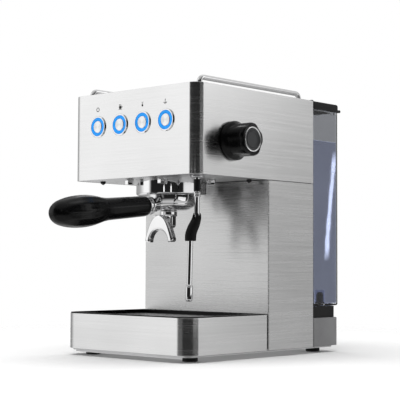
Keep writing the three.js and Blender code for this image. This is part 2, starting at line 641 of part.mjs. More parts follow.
function makeDock() {
  const half = HALF - 0.8;
  const outer = prism(outline([-half, half], [HEAD.depth + 2, 262], 2, 6), [COLUMN.bottom, 42.3]);
  const inner = outline([2.4 - half, half - 2.4], [HEAD.depth + 4.4, 259.6], 1, 4);
  const glandHole = towardsFront(cylinder(6.4, [-270, -250])).translate(GLAND.x, 0, GLAND.z);
  const seat = solidOf([outer], [prism(inner, [COLUMN.bottom - 1, 40]), glandHole]);
  place('tank_seat', seat, 'greyPlastic');
  const gland = turnedRing([
    [3.6, -4.5], [6, -4.5], [6, GAP], [8.5, GAP], [8.5, 2.3], [6.8, 5.5], [3.6, 5.5],
  ]);
  gland.rotateX(-Math.PI / 2).translate(GLAND.x, 262, GLAND.z);
  place('cord_gland', solidOf([gland]), 'blackPlastic');

  const slab = prism(outline([-97.5, 97.5], [HEAD.depth + 2.3, 258.5], 2, 6), [42.6, TANK.bottom - GAP]);
  const down = cylinder(2.2, [46, 60], 12).translate(OUTLET.x, OUTLET.y, 0);
  const along = towardsFront(cylinder(2.2, [-OUTLET.y - 2, -HEAD.depth], 12)).translate(OUTLET.x, 0, 48);
  place('tank_dock', solidOf([slab], [down, along]), 'blackPlastic');
}

function makePump() {
  const barrel = towardsRight(cylinder(12, [-75, 25], COARSE)).translate(0, 165, 65);
  const coil = box([-55, -12], [143, 187], [43, 87]);
  place('pump', solidOf([barrel, coil]), 'blackPlastic');
  place('pump_cradle', solidOf([box([-50, -17], [148, 182], [PLATE.top + GAP, 42.7])]), 'rubber');
  const suction = [[OUTLET.x, 211, 48], [OUTLET.x, 185, 48], [60, 165, 65], [25.4, 165, 65]];
  place('suction_hose', solidOf([tube(suction, 14, 3.5, 8, 3)]), 'silicone');
  const pressure = [[-75.4, 165, 65], [-86, 165, 65], [-86, 165, 200], [-70, 120, 243]];
  pressure.push([-46, 65, 243], [-30.4, 65, 243]);
  place('pressure_hose', solidOf([tube(pressure, 7, 2.6, 8, 3)]), 'silicone');
}

makeBase();
makeDrawer();
makeHousing();
makeRails();
makeButtons();
makeKnob();
makeGroup();
makePortafilter();
makeSpout();
makeWand();
makeTank();
makeLid();
makeDock();
makePump();

// The origin is the middle of the machine's box, on the worktop.
const bounds = new THREE.Box3().setFromObject(machine);
machine.position.set(-(bounds.min.x + bounds.max.x) / 2, -(bounds.min.y + bounds.max.y) / 2, 0);

export default machine;
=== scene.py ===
from math import cos, hypot, pi, radians, sin, tan

import bmesh
import bpy
from mathutils import Matrix, Vector
from mathutils.geometry import tessellate_polygon


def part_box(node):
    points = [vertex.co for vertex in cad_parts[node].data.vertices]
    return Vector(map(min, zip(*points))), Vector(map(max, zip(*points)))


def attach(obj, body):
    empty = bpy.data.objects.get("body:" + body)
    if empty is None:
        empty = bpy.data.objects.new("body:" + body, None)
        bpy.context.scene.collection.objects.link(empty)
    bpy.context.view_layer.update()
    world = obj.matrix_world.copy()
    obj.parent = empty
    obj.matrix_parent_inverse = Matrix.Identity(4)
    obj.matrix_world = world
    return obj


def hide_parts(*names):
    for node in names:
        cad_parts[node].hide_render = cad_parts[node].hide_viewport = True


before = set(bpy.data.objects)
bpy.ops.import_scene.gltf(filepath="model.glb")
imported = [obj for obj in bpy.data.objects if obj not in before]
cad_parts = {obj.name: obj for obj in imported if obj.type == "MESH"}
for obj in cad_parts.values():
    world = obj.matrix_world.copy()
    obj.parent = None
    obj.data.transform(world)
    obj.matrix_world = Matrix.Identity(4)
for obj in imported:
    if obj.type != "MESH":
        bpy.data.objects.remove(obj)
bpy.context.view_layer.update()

# Shapes below are drawn in millimetres from the middle of the head's front face, on the worktop:
# +X to the right, +Y to the back, +Z up. That point is taken from the head shell's box.
MM = 0.001
HEAD_LOW, HEAD_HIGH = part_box("head_shell")
ORIGIN = Vector(((HEAD_LOW.x + HEAD_HIGH.x) / 2, HEAD_LOW.y, 0))


class Extent:
    """A CAD node's box at rest, in millimetres from the drawing origin."""

    def __init__(self, node):
        low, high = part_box(node)
        self.x0, self.y0, self.z0 = (low - ORIGIN) / MM
        self.x1, self.y1, self.z1 = (high - ORIGIN) / MM
        self.x, self.y, self.z = ((low + high) / 2 - ORIGIN) / MM
        self.plan = self.x0, self.x1, self.y0, self.y1
        self.half_width = (self.x1 - self.x0) / 2
        self.half_height = (self.z1 - self.z0) / 2


HEAD = Extent("head_shell")
GROUP = Extent("group_collar")
SHEET = Extent("side_panel_right").half_width * 2


# ---- outlines ----

def arc(cx, cy, radius, start, end, steps=8):
    """Points along an arc, with its angles in degrees."""
    angles = [radians(start + (end - start) * i / steps) for i in range(steps + 1)]
    return [(cx + radius * cos(a), cy + radius * sin(a)) for a in angles]


def circle(cx, cy, radius, steps=48):
    return arc(cx, cy, radius, 0, 360, steps)[:-1]


def full_turn(steps):
    """Angles all the way round, in radians."""
    return [2 * pi * i / steps for i in range(steps)]


def rectangle(x0, x1, y0, y1):
    return [(x0, y0), (x1, y0), (x1, y1), (x0, y1)]


def round_rect(x0, x1, y0, y1, front, back, steps=8):
    """A rectangle with its corner radii at low y and at high y."""
    loop = arc(x0 + front, y0 + front, front, 180, 270, steps)
    loop += arc(x1 - front, y0 + front, front, 270, 360, steps)
    loop += arc(x1 - back, y1 - back, back, 0, 90, steps)
    return loop + arc(x0 + back, y1 - back, back, 90, 180, steps)


def slot_outline(cx, cy, length, width, along_x):
    """A slot with round ends."""
    half = (length - width) / 2
    ends = arc(half, 0, width / 2, -90, 90, 6) + arc(-half, 0, width / 2, 90, 270, 6)
    return [(cx + a, cy + b) if along_x else (cx + b, cy + a) for a, b in ends]


def softened(points, radius, steps=3, closed=False):
    """The line through the points with its corners rounded off."""
    points = [Vector(p) for p in points]
    count = len(points)
    line = [] if closed else [points[0]]
    for i in range(0 if closed else 1, count if closed else count - 1):
        before, here, after = points[i - 1], points[i], points[(i + 1) % count]
        reach = min(radius, (before - here).length * 0.49, (after - here).length * 0.49)
        start = here + (before - here).normalized() * reach
        end = here + (after - here).normalized() * reach
        for step in range(steps + 1):
            t = step / steps
            line.append(start * (1 - t) ** 2 + here * 2 * t * (1 - t) + end * t ** 2)
    if not closed:
        line.append(points[-1])
    return [tuple(p) for p in line]


def bezier(controls, steps):
    """Points along a Bezier curve through the first and last of its control points."""
    line = []
    for step in range(steps + 1):
        points = [Vector(p) for p in controls]
        while len(points) > 1:
            points = [a.lerp(b, step / steps) for a, b in zip(points, points[1:])]
        line.append(tuple(points[0]))
    return line


def area(loop):
    return sum(a[0] * b[1] - b[0] * a[1] for a, b in zip(loop, loop[1:] + loop[:1])) / 2


def offset_loop(loop, distance):
    """The closed loop moved to its left: inwards where it runs anticlockwise."""
    shifted = []
    for before, here, after in zip(loop[-1:] + loop[:-1], loop, loop[1:] + loop[:1]):
        arriving = Vector((here[0] - before[0], here[1] - before[1])).normalized()
        leaving = Vector((after[0] - here[0], after[1] - here[1])).normalized()
        along = arriving + leaving
        normal = Vector((-along.y, along.x)).normalized()
        mitre = max(normal.dot(Vector((-arriving.y, arriving.x))), 0.4)
        shifted.append((here[0] + normal.x * distance / mitre, here[1] + normal.y * distance / mitre))
    return shifted


def headings(path):
    """The direction of a line of points at each of them."""
    pairs = zip(path[:1] + path[:-1], path[1:] + path[-1:])
    return [(after - before).normalized() for before, after in pairs]


def band(points, width):
    """A stroke of even width through the points."""
    points = [Vector(p) for p in points]
    left, right = [], []
    for point, along in zip(points, headings(points)):
        normal = Vector((-along.y, along.x)) * width / 2
        left.append(tuple(point + normal))
        right.append(tuple(point - normal))
    return left + right[::-1]


# ---- solids, each a pair of points and faces ----

def prism(outline, z0, z1, bevel=0.3, holes=(), steps=3):
    """A plate between two heights, with holes and rounded rims."""
    loops = [outline if area(outline) > 0 else outline[::-1]]
    loops += [hole[::-1] if area(hole) > 0 else hole for hole in holes]
    angles = [radians(90 * i / steps) for i in range(steps + 1)]
    levels = [(bevel * (1 - sin(a)), z0 + bevel * (1 - cos(a))) for a in angles]
    levels += [(inset, z0 + z1 - z) for inset, z in reversed(levels)]
    points, faces = [], []
    rims = [[], []]
    for loop in loops:
        start, count = len(points), len(loop)
        for inset, z in levels:
            points += [(x, y, z) for x, y in offset_loop(loop, inset)]
        for level in range(len(levels) - 1):
            a, b = start + level * count, start + (level + 1) * count
            faces += [(a + i, a + (i + 1) % count, b + (i + 1) % count, b + i) for i in range(count)]
        rims[0].append(list(range(start, start + count)))
        rims[1].append(list(range(start + (len(levels) - 1) * count, start + len(levels) * count)))
    for rim in rims:
        flat = [index for loop in rim for index in loop]
        triangles = tessellate_polygon([[Vector(points[i]) for i in loop] for loop in rim])
        faces += [tuple(flat[i] for i in triangle) for triangle in triangles]
    return points, faces


def loft(rings, closed=False):
    """A skin over rings of equally many points, with flat ends unless the rings close on themselves."""
    count = len(rings[0])
    points = [tuple(p) for ring in rings for p in ring]
    faces = []
    for level in range(len(rings) if closed else len(rings) - 1):
        a, b = level * count, (level + 1) % len(rings) * count
        faces += [(a + i, a + (i + 1) % count, b + (i + 1) % count, b + i) for i in range(count)]
    if not closed:
        faces += [tuple(range(count))[::-1], tuple(range(len(points) - count, len(points)))]
    return points, faces


def stacked(half_width, y0, y1, levels, front, back, steps=8):
    """A skin over rounded rectangles, one for each (inset, height) level.

    front and back give the corner radius at no inset, from which the inset is taken, and the least radius.
    """
    rings = []
    for inset, z in levels:
        x1 = half_width - inset
        loop = round_rect(-x1, x1, y0 + inset, y1 - inset,
                          max(front[0] - inset, front[1]), max(back[0] - inset, back[1]), steps)
        rings.append([(x, y, z) for x, y in loop])
    return loft(rings)


def lathe(profile, steps=96, soft=0):
    """A solid turned about Z from (radius, height) points, which start on the axis or else form a loop."""
    closed = profile[0][0] > 0
    line = softened(profile, soft, closed=closed) if soft else profile
    return loft([[(r * cos(a), r * sin(a), z) for a in full_turn(steps)] for r, z in line], closed)


def rod(radius, z0, z1, steps=48, soft=0):
    """A round bar that stands on its end."""
    return lathe([(0, z0), (radius, z0), (radius, z1), (0, z1)], steps, soft)


def sweep(path, radius, steps):
    """A round bar along a path of points."""
    tangents = headings(path)
    side = tangents[0].orthogonal().normalized()
    rings = []
    for point, tangent in zip(path, tangents):
        side = (side - tangent * side.dot(tangent)).normalized()
        up = tangent.cross(side)
        rings.append([point + (side * cos(a) + up * sin(a)) * radius for a in full_turn(steps)])
    return loft(rings)


def bent_path(corners, bend, steps):
    """A line through corner points with a true arc at each inner corner."""
    corners = [Vector(c) for c in corners]
    path = [corners[0]]
    for before, here, after in zip(corners, corners[1:], corners[2:]):
        arriving, leaving = (here - before).normalized(), (after - here).normalized()
        turn = arriving.angle(leaving)
        reach = bend * tan(turn / 2)
        centre = here + (leaving - arriving).normalized() * hypot(bend, reach)
        spoke = here - arriving * reach - centre
        axis = arriving.cross(leaving)
        for step in range(steps + 1):
            path.append(centre + Matrix.Rotation(turn * step / steps, 3, axis) @ spoke)
    return path + [corners[-1]]


def sector(inner, outer, start, end, z0, z1):
    """A piece of a ring between two angles in degrees."""
    loop = arc(0, 0, outer, start, end, 24) + arc(0, 0, inner, end, start, 24)
    return prism(loop, z0, z1)


def joined(*shapes):
    """Several shapes in one."""
    points, faces = [], []
    for more_points, more_faces in shapes:
        faces += [tuple(i + len(points) for i in face) for face in more_faces]
        points += more_points
    return points, faces


def moved(shape, x=0, y=0, z=0):
    return [(a + x, b + y, c + z) for a, b, c in shape[0]], shape[1]


def turned(shape, axis, angle):
    rotation = Matrix.Rotation(radians(angle), 3, axis)
    return [tuple(rotation @ Vector(p)) for p in shape[0]], shape[1]


def facing_front(shape, x, y, z):
    """A shape turned about Z, laid down so that its top faces the front."""
    return moved(turned(shape, "X", 90), x, y, z)


def facing_right(shape, x, y, z):
    """A shape turned about Z, laid down so that its top faces right."""
    return moved(turned(shape, "Y", 90), x, y, z)


def standing(shape):
    """A plate drawn in X and Z: its own height becomes the depth, to the back."""
    return [(x, depth, z) for x, z, depth in shape[0]], shape[1]


def sideways(shape):
    """A plate drawn in Y and Z: its own height runs to the right."""
    return [(depth, y, z) for y, z, depth in shape[0]], shape[1]


def clean_mesh(shape, scale=1.0, origin=Vector((0, 0, 0))):
    points, faces = shape
    mesh = bpy.data.meshes.new("shape")
    mesh.from_pydata([origin + Vector(p) * scale for p in points], [], faces)
    work = bmesh.new()
    work.from_mesh(mesh)
    bmesh.ops.remove_doubles(work, verts=work.verts, dist=1e-4 * scale)
    bmesh.ops.dissolve_degenerate(work, edges=work.edges, dist=1e-5 * scale)
    bmesh.ops.recalc_face_normals(work, faces=work.faces)
    work.to_mesh(mesh)
    work.free()
    return mesh


def added(name, data):
    """A new object in the scene."""
    thing = bpy.data.objects.new(name, data)
    bpy.context.scene.collection.objects.link(thing)
    return thing


def combined(shape, others, operation="DIFFERENCE"):
    """The shape cut by the others, or joined with them."""
    base = added("base", clean_mesh(shape))
    tools = [added("tool", clean_mesh(other)) for other in others]
    for tool in tools:
        modifier = base.modifiers.new("cut", "BOOLEAN")
        modifier.operation = operation
        modifier.solver = "EXACT"
        modifier.object = tool
    bpy.context.view_layer.update()
    result = base.evaluated_get(bpy.context.evaluated_depsgraph_get()).to_mesh()
    points = [tuple(v.co) for v in result.vertices]
    faces = [tuple(p.vertices) for p in result.polygons]
    for thing in [base, *tools]:
        mesh = thing.data
        bpy.data.objects.remove(thing)
        bpy.data.meshes.remove(mesh)
    return points, faces


def piece(name, shape, material, nodes=(), body="machine", sharp=32):
    """Adds a solid to the model, standing for CAD nodes and riding on a body."""
    mesh = clean_mesh(shape, MM, ORIGIN)
    mesh.name = name
    mesh.shade_smooth()
    mesh.set_sharp_from_angle(angle=radians(sharp))
    mesh.materials.append(material)
    thing = added(name, mesh)
    thing.modifiers.new("normals", "WEIGHTED_NORMAL").keep_sharp = True
    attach(thing, body)
    if nodes:
        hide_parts(*nodes)


# ---- materials; a node or a socket names its own tree with id_data ----

def feed(made, inputs):
    """Sets a shader node's inputs, each to a value or to another node's socket."""
    for key, value in inputs.items():
        if isinstance(value, bpy.types.NodeSocket):
            made.id_data.links.new(value, made.inputs[key])
        else:
            made.inputs[key].default_value = value


def node(tree, kind, inputs=None, **settings):
    made = tree.nodes.new("ShaderNode" + kind)
    for name, value in settings.items():
        setattr(made, name, value)
    feed(made, inputs or {})
    return made


def calc(operation, a, b=0.0):
    return node(a.id_data, "Math", {0: a, 1: b}, operation=operation).outputs[0]


def spread(value, low, high, from_low=0.3, from_high=0.7):
    """The value from one range to another."""
    inputs = {"Value": value, "From Min": from_low, "From Max": from_high, "To Min": low, "To Max": high}
    return node(value.id_data, "MapRange", inputs).outputs["Result"]


def noise(tree, scale, detail=2.0, roughness=0.5, distortion=0.0):
    """Noise over the piece's own coordinates, in cycles per metre along X, Y and Z."""
    coordinates = node(tree, "TexCoord").outputs["Object"]
    place = node(tree, "Mapping", {"Vector": coordinates, "Scale": scale})
    return node(tree, "TexNoise", {
        "Vector": place.outputs["Vector"], "Scale": 1.0, "Detail": detail,
        "Roughness": roughness, "Distortion": distortion}).outputs["Fac"]


def shade(tone, factor):
    return tuple(min(c * factor, 1) for c in tone)


def blend_colours(factor, dark, light):
    inputs = {0: factor, 6: (*dark, 1), 7: (*light, 1)}
    return node(factor.id_data, "Mix", inputs, data_type="RGBA").outputs[2]


def bump(height, distance, strength, under=None):
    """Relief that follows a height, over another relief, with its distance in metres."""
    inputs = {"Height": height, "Distance": distance, "Strength": strength}
    if under is not None:
        inputs["Normal"] = under
    return node(height.id_data, "Bump", inputs).outputs["Normal"]


def radial_tangent(tree, axis):
    return node(tree, "Tangent", direction_type="RADIAL", axis=axis).outputs["Tangent"]


def new_material(name, values):
    """A material and its node tree, with uniform values set on the shader itself."""
    material = bpy.data.materials.new(name)
    material.use_nodes = True
    tree = material.node_tree
    shader = tree.nodes["Principled BSDF"]
    feed(shader, values)
    return material, tree, shader


def finish(shader, pattern, tones, roughness, relief):
    """Colour and roughness that follow a pattern, each between two values, and a relief."""
    feed(shader, {
        "Base Color": blend_colours(spread(pattern, 0, 1), *tones),
        "Roughness": spread(pattern, *roughness),
        "Normal": relief,
    })


def brushed(name, tone, roughness, anisotropy=0.65, across="Z"):
    """Steel sheet with a drawn grain that runs square to the across axis."""
    material, tree, shader = new_material(
        name, {"Metallic": 1.0, "Anisotropic": anisotropy, "Anisotropic Rotation": 0.25})

    def grain(fine, long, uneven):
        """Noise with so many cycles per metre across the grain, and in the other directions."""
        scale = tuple(fine if axis == across else long for axis in "XYZ")
        return noise(tree, scale, detail=3, roughness=uneven)

    hairs = grain(3800, 26, 0.65)
    streaks = grain(420, 7, 0.6)
    worn = calc("ADD", streaks, noise(tree, (9, 9, 9)))
    gloss = calc("ADD", hairs, streaks)
    middle = (0.7, 1.3)  # where the sum of two noises mostly lies
    hair_relief = bump(hairs, 0.00001, 0.3)
    wear = spread(worn, 0, 1, *middle)
    feed(shader, {
        "Base Color": blend_colours(wear, shade(tone, 0.94), shade(tone, 1.06)),
        "Roughness": spread(gloss, roughness * 0.8, roughness * 1.25, *middle),
        "Normal": bump(streaks, 0.00002, 0.12, hair_relief),
        "Tangent": radial_tangent(tree, "Z" if across == "Z" else "X"),
    })
    return material


def polished(name, tone, roughness):
    """Mirror metal with faint wiping marks."""
    material, tree, shader = new_material(name, {"Metallic": 1.0})
    wipes = noise(tree, (60, 90, 35), detail=3, distortion=0.6)
    pits = noise(tree, (900, 900, 900))
    finish(shader, wipes, (shade(tone, 0.95), tone), (roughness * 0.6, roughness * 1.6),
           bump(pits, 0.000004, 0.3))
    return material


def spun(name, tone, roughness, rings_across):
    """Metal turned on a lathe: fine rings about the piece's front axis."""
    material, tree, shader = new_material(
        name, {"Metallic": 1.0, "Anisotropic": 0.78, "Anisotropic Rotation": 0.25})
    coordinates = node(tree, "TexCoord").outputs["Generated"]
    centred = node(tree, "VectorMath", {0: coordinates, 1: (0.5, 0.5, 0.5)}, operation="SUBTRACT")
    flat = node(tree, "VectorMath", {0: centred.outputs[0], 1: (1, 0, 1)}, operation="MULTIPLY")
    reach = node(tree, "VectorMath", {0: flat.outputs[0]}, operation="LENGTH").outputs["Value"]
    place = calc("MULTIPLY", reach, rings_across)
    wave = node(tree, "TexNoise", {"W": place, "Scale": 1.0, "Detail": 2.0}, noise_dimensions="1D")
    rings = wave.outputs["Fac"]
    finish(shader, rings, (shade(tone, 0.88), tone), (roughness * 0.8, roughness * 1.3),
           bump(rings, 0.00001, 0.4))
    feed(shader, {"Tangent": radial_tangent(tree, "Y")})
    return material


def plastic(name, tone, roughness, relief=0.00002, grain=1400, shine=0.5):
    """Moulded plastic or rubber: a fine texture, uneven gloss and faint rubbed patches."""
    material, tree, shader = new_material(name, {"Specular IOR Level": shine})
    texture = noise(tree, (grain, grain, grain), detail=3, roughness=0.6)
    patches = noise(tree, (28, 28, 28), detail=3)
    rubbed = tuple(c * 1.35 + 0.0005 for c in tone)
    finish(shader, patches, (tone, rubbed), (roughness * 0.85, roughness * 1.2),
           bump(texture, relief, 0.4))
    return material


def clear(name, tone, roughness, ior):
    """Clear moulded plastic or water, with slight ripples in the surface."""
    material, tree, shader = new_material(name, {"Transmission Weight": 1.0, "IOR": ior})
    ripples = noise(tree, (30, 30, 14))
    finish(shader, ripples, (shade(tone, 0.96), tone), (roughness, roughness * 2),
           bump(ripples, 0.0004, 0.07))
    return material


def lit_ring(name, tone):
    """A light guide that glows, a little brighter in soft patches."""
    material, tree, shader = new_material(
        name, {"Roughness": 0.25, "Specular IOR Level": 0.3, "Emission Strength": 0.6})
    patches = noise(tree, (90, 90, 90))
    glow = blend_colours(spread(patches, 0, 1), tone, shade(tone, 1.25))
    feed(shader, {"Base Color": glow, "Emission Color": glow})
    return material


STEEL = brushed("brushed_steel_sheet", (0.80, 0.80, 0.80), 0.23, anisotropy=0.5)
SIDE_STEEL = brushed("brushed_steel_side", (0.72, 0.72, 0.72), 0.24, anisotropy=0.6)
# The column's sheet is the brushed steel made darker: its low tone is painted shade for the recess under the
# head, while its stronger level grain is its own.
SHADED_COLUMN_STEEL = brushed("column_steel_painted_shade", (0.60, 0.60, 0.60), 0.25, anisotropy=0.85)
DARK_STEEL = brushed("satin_steel_sheet", (0.72, 0.72, 0.725), 0.45, anisotropy=0.2)
TOP_STEEL = brushed("brushed_steel_top", (0.70, 0.70, 0.70), 0.30, across="Y")
GRID_STEEL = brushed("brushed_steel_grid", (0.42, 0.42, 0.425), 0.28, across="Y")
CHROME = polished("polished_steel", (0.86, 0.86, 0.865), 0.045)
DULL_CHROME = polished("drawn_steel", (0.55, 0.55, 0.56), 0.22)
ALUMINIUM = polished("cast_aluminium", (0.55, 0.55, 0.56), 0.42)
BRASS = polished("machined_brass", (0.70, 0.52, 0.24), 0.25)
SPUN = spun("spun_button_face", (0.93, 0.93, 0.93), 0.26, 26)
CAP_PLASTIC = plastic("knob_cap_plastic", (0.035, 0.036, 0.038), 0.42)
BLACK = plastic("black_plastic_gloss", (0.002, 0.002, 0.0022), 0.2, relief=0.00001, shine=0.22)
BLACK_MATT = plastic("black_plastic_matt", (0.006, 0.006, 0.0062), 0.45, shine=0.3)
RUBBER = plastic("black_rubber", (0.005, 0.005, 0.005), 0.62, relief=0.00005, grain=900, shine=0.2)
GREY = plastic("grey_plastic", (0.21, 0.21, 0.215), 0.45, relief=0.00003)
SILICONE = plastic("silicone_tube", (0.62, 0.62, 0.61), 0.4)
BOARD = plastic("circuit_board_lacquer", (0.02, 0.11, 0.04), 0.35)
TANK = clear("clear_tank_plastic", (0.84, 0.855, 0.89), 0.01, 1.4)
WATER = clear("water", (0.60, 0.65, 0.85), 0.0, 1.12)
LIGHT = lit_ring("blue_light_guide", (0.006, 0.23, 0.66))
INK = plastic("dark_print", (0.008, 0.008, 0.008), 0.55)


# ---- head ----

HEAD_RADIUS = 12
BUTTON_Z = Extent("button_cap_1").z
BUTTON_X = [Extent(f"button_cap_{i}").x for i in range(1, 5)]
KNOB = Extent("knob_cap")
BUTTON_BORE, SHAFT_BORE = 11.5, 5
FRONT_BOLT = (24, 24.5)
SCREW_PLACES = ((-80, 30), (-80, 112), (80, 112))


def wrap_outline(x, y0, y1, radius):
    """A sheet bent round the front and both sides, seen from above."""
    outer = [(-x, y1), *arc(radius - x, y0 + radius, radius, 180, 270, 12)]
    outer += [*arc(x - radius, y0 + radius, radius, 270, 360, 12), (x, y1)]
    inner = offset_loop(outer, SHEET)
    inner[0] = (SHEET - x, y1)
    inner[-1] = (x - SHEET, y1)
    return outer + inner[::-1]


def head_casing():
    shell = prism(wrap_outline(HEAD.x1, HEAD.y0, HEAD.y1, HEAD_RADIUS), HEAD.z0, HEAD.z1, 0.4)
    through = 5
    bore = rod(BUTTON_BORE, -through, through, 64)
    holes = [facing_front(bore, x, 0, BUTTON_Z) for x in BUTTON_X]
    holes.append(facing_right(rod(SHAFT_BORE, -through, through, 32), HEAD.x1, KNOB.y, KNOB.z))
    piece("head_casing", combined(shell, holes), STEEL, ["head_shell"])


def underside():
    b = Extent("underside_plate")
    bolts = [Extent(f"group_bolt_{side}") for side in ("left", "right")]
    wand_nut = Extent("wand_socket")
    holes = [circle(GROUP.x, GROUP.y, GROUP.half_width + 0.4, 96), circle(wand_nut.x, wand_nut.y, 8.2)]
    holes += [circle(bolt.x, bolt.y, 3.4, 24) for bolt in bolts]
    plate = prism(round_rect(*b.plan, HEAD_RADIUS - 1.5, 1), b.z0, b.z1, 0.25, holes)
    piece("head_underside", plate, DARK_STEEL, ["underside_plate"])
    dome = [(0, 0), (1.2, 0), (1.2, 0.6), (2.6, 1.2), (3.3, 2.6), (3.3, 4), (0, 4)]
    screw = lathe(dome, 32, 0.4)
    screws = [moved(screw, x, y, b.z0 - 4.1) for x, y in SCREW_PLACES]
    piece("underside_screws", joined(*screws), BLACK_MATT)
    piece("bolt_front", moved(bolt_shape(bolts[0]), *FRONT_BOLT), CHROME)


def top_plate():
    b = Extent("cup_warmer")
    rows, pitch = 8, 21
    aside, length, width = 38, 62, 3.4
    middle = (HEAD.y0 + HEAD.y1) / 2
    places = [middle + (row - (rows - 1) / 2) * pitch for row in range(rows)]
    holes = [slot_outline(side * aside, y, length, width, True) for side in (-1, 1) for y in places]
    plate = prism(round_rect(*b.plan, HEAD_RADIUS - 1.5, 0.8), b.z0, b.z1, 0.35, holes)
    piece("cup_warmer_plate", plate, TOP_STEEL, ["cup_warmer"])


def rail(side):
    b = Extent(f"rail_{side}")
    radius, bend, flange_radius = 2.9, 6.5, 5
    low, high = b.z0 + 0.4, b.z1 - radius
    y0, y1 = b.y0 + flange_radius, b.y1 - flange_radius
    path = bent_path([(b.x, y0, low), (b.x, y0, high), (b.x, y1, high), (b.x, y1, low)], bend, 14)
    profile = [(0, 0), (flange_radius, 0), (flange_radius, 1.1), (2.5, 1.3), (0, 1.3)]
    flange = lathe(profile, 48, 0.5)
    feet = [moved(flange, b.x, y, b.z0) for y in (y0, y1)]
    rod_and_feet = joined(sweep(path, radius, 32), *feet)
    piece(f"top_rail_{side}", rod_and_feet, CHROME, [f"rail_{side}"])


# ---- buttons and knob ----

def button(index):
    b = Extent(f"button_bezel_{index}")
    front = -b.y0
    outer = b.half_width
    groove = outer - 1.9
    face = Extent(f"button_cap_{index}").half_width - 0.05
    trim = [
        (groove, front - 0.9), (groove, front - 0.05), (outer - 0.7, front), (outer, front - 0.6),
        (outer, 0.05), (groove + 0.1, 0.05), (groove + 0.1, -10), (groove - 1.4, -10),
        (groove - 1.4, front - 0.9),
    ]
    guide = [
        (face + 0.3, -8), (face + 0.3, front - 0.45), (face + 0.9, front - 0.25),
        (groove - 0.7, front - 0.25), (groove - 0.12, front - 0.5), (groove - 0.12, front - 0.75),
        (groove - 1.5, front - 0.8), (groove - 1.5, -8),
    ]
    crown = [(0, -8), (face, -8), (face, front - 0.4), (face - 0.5, front), (0, front - 0.25)]
    trim_ring, light_ring, cap = (
        facing_front(lathe(profile, soft=0.2), b.x, 0, b.z) for profile in (trim, guide, crown))
    piece(f"button_trim_{index}", trim_ring, CHROME, [f"button_bezel_{index}"])
    piece(f"button_light_ring_{index}", light_ring, LIGHT)
    piece(f"button_face_{index}", cap, SPUN, [f"button_cap_{index}"], f"button_{index}")


def knob_section(x, radius, lobe):
    """A section of the knob: a circle with finger lobes, square to X."""
    lobes = 5
    first_lobe = radians(10)  # up from the back
    points = []
    for angle in full_turn(120):
        place = lobes * (angle - first_lobe)
        reach = radius + (cos(place) - 0.22 * cos(2 * place)) * lobe
        points.append((x, KNOB.y + reach * cos(angle), KNOB.z + reach * sin(angle)))
    return points


def knob():
    b = Extent("steam_knob")
    back, front = b.x0, b.x1
    skirt, waist, shaft, dish = b.half_height, 18.2, 3.4, 1.6
    stations = [
        (back, skirt - 0.6, 0), (back + 0.5, skirt, 0), (back + 4, skirt, 0), (back + 5.4, skirt - 0.8, 0),
        (back + 6.6, skirt - 2.6, 0.2), (back + 7.4, skirt - 3.4, 0.6), (back + 9, waist, 0.95),
        (back + 14, waist, 1), (front - 5, waist, 1), (front - 2.4, waist - 0.1, 1),
        (front - 1, waist - 0.6, 0.95), (front - 0.25, waist - 1.5, 0.8), (front, waist - 2.4, 0.45),
        (front, 14.3, 0), (front - dish, 14.25, 0), (front - dish, shaft, 0), (back + 0.2, shaft, 0),
        (back, shaft + 0.4, 0),
    ]
    grip = loft([knob_section(*station) for station in stations], closed=True)
    piece("steam_knob_grip", grip, BLACK, ["steam_knob"], "steam_knob", sharp=40)
    ring = Extent("knob_ring")
    r, x1 = ring.half_height, ring.x1
    profile = [
        (r - 1.6, ring.x0), (r, ring.x0), (r, x1 - 0.3), (r - 0.6, x1), (r - 1.2, x1), (r - 1.6, x1 - 0.5)]
    trim = facing_right(lathe(profile, soft=0.2), 0, KNOB.y, KNOB.z)
    piece("steam_knob_ring", trim, CHROME, ["knob_ring"], "steam_knob")
    r, x1 = KNOB.half_height, KNOB.x1
    profile = [
        (0, KNOB.x0), (r, KNOB.x0), (r, x1 - 0.1), (r - 0.3, x1), (r - 2.4, x1 - 0.9), (r - 2.9, x1 - 0.9),
        (r - 3.2, x1 - 0.3), (r - 3.9, x1 - 0.3), (r - 4.2, x1 - 0.7), (0, x1 - 0.7),
    ]
    disc = facing_right(lathe(profile, soft=0.12), 0, KNOB.y, KNOB.z)
    piece("steam_knob_cap", disc, CAP_PLASTIC, ["knob_cap"], "steam_knob")


# ---- printed symbols ----

SYMBOL_Z = BUTTON_Z + 20.4
STROKE, FINE_STROKE = 0.8, 0.5


def power_symbol(x, z):
    return [band(arc(x, z, 2.2, 125, 415, 28), STROKE), band([(x, z + 0.8), (x, z + 3.2)], STROKE)]


def cup_symbol(x, z):
    cup = [(x - 2.2, z + 1.3), (x + 1.8, z + 1.3), *arc(x + 0.5, z - 0.8, 1.4, 0, -90, 5),
           *arc(x - 0.9, z - 0.8, 1.4, 270, 180, 5)]
    handle = band(arc(x + 2.1, z - 0.1, 1, 90, -90, 10), FINE_STROKE)
    saucer = band([(x - 3.1, z - 2.7), (x + 2.7, z - 2.7)], FINE_STROKE)
    return [cup, handle, saucer, *[wisp(x - 1.6 + 1.3 * i, z + 1.7) for i in range(3)]]


def wisp(x, z):
    """A stroke of rising steam."""
    height, sway, steps = 1.5, 0.45, 8
    shares = [i / steps for i in range(steps + 1)]
    return band([(x + sway * sin(2 * pi * share), z + height * share) for share in shares], FINE_STROKE)


def water_symbol(x, z):
    neck = band([(x, z), (x, z + 1)], FINE_STROKE)
    dashes = [band([(x - 1.2, z + h), (x + 1.2, z + h)], 0.45) for h in (1.5, 2.5)]
    return [circle(x, z - 1.1, 1.35, 24), neck, *dashes]


def steam_symbol(x, z):
    dish = band(arc(x, z + 0.8, 2.6, 205, 335, 16), STROKE)
    return [dish, band([(x, z - 1.6), (x, z + 1.4)], STROKE), circle(x, z + 2.5, 0.7, 16)]


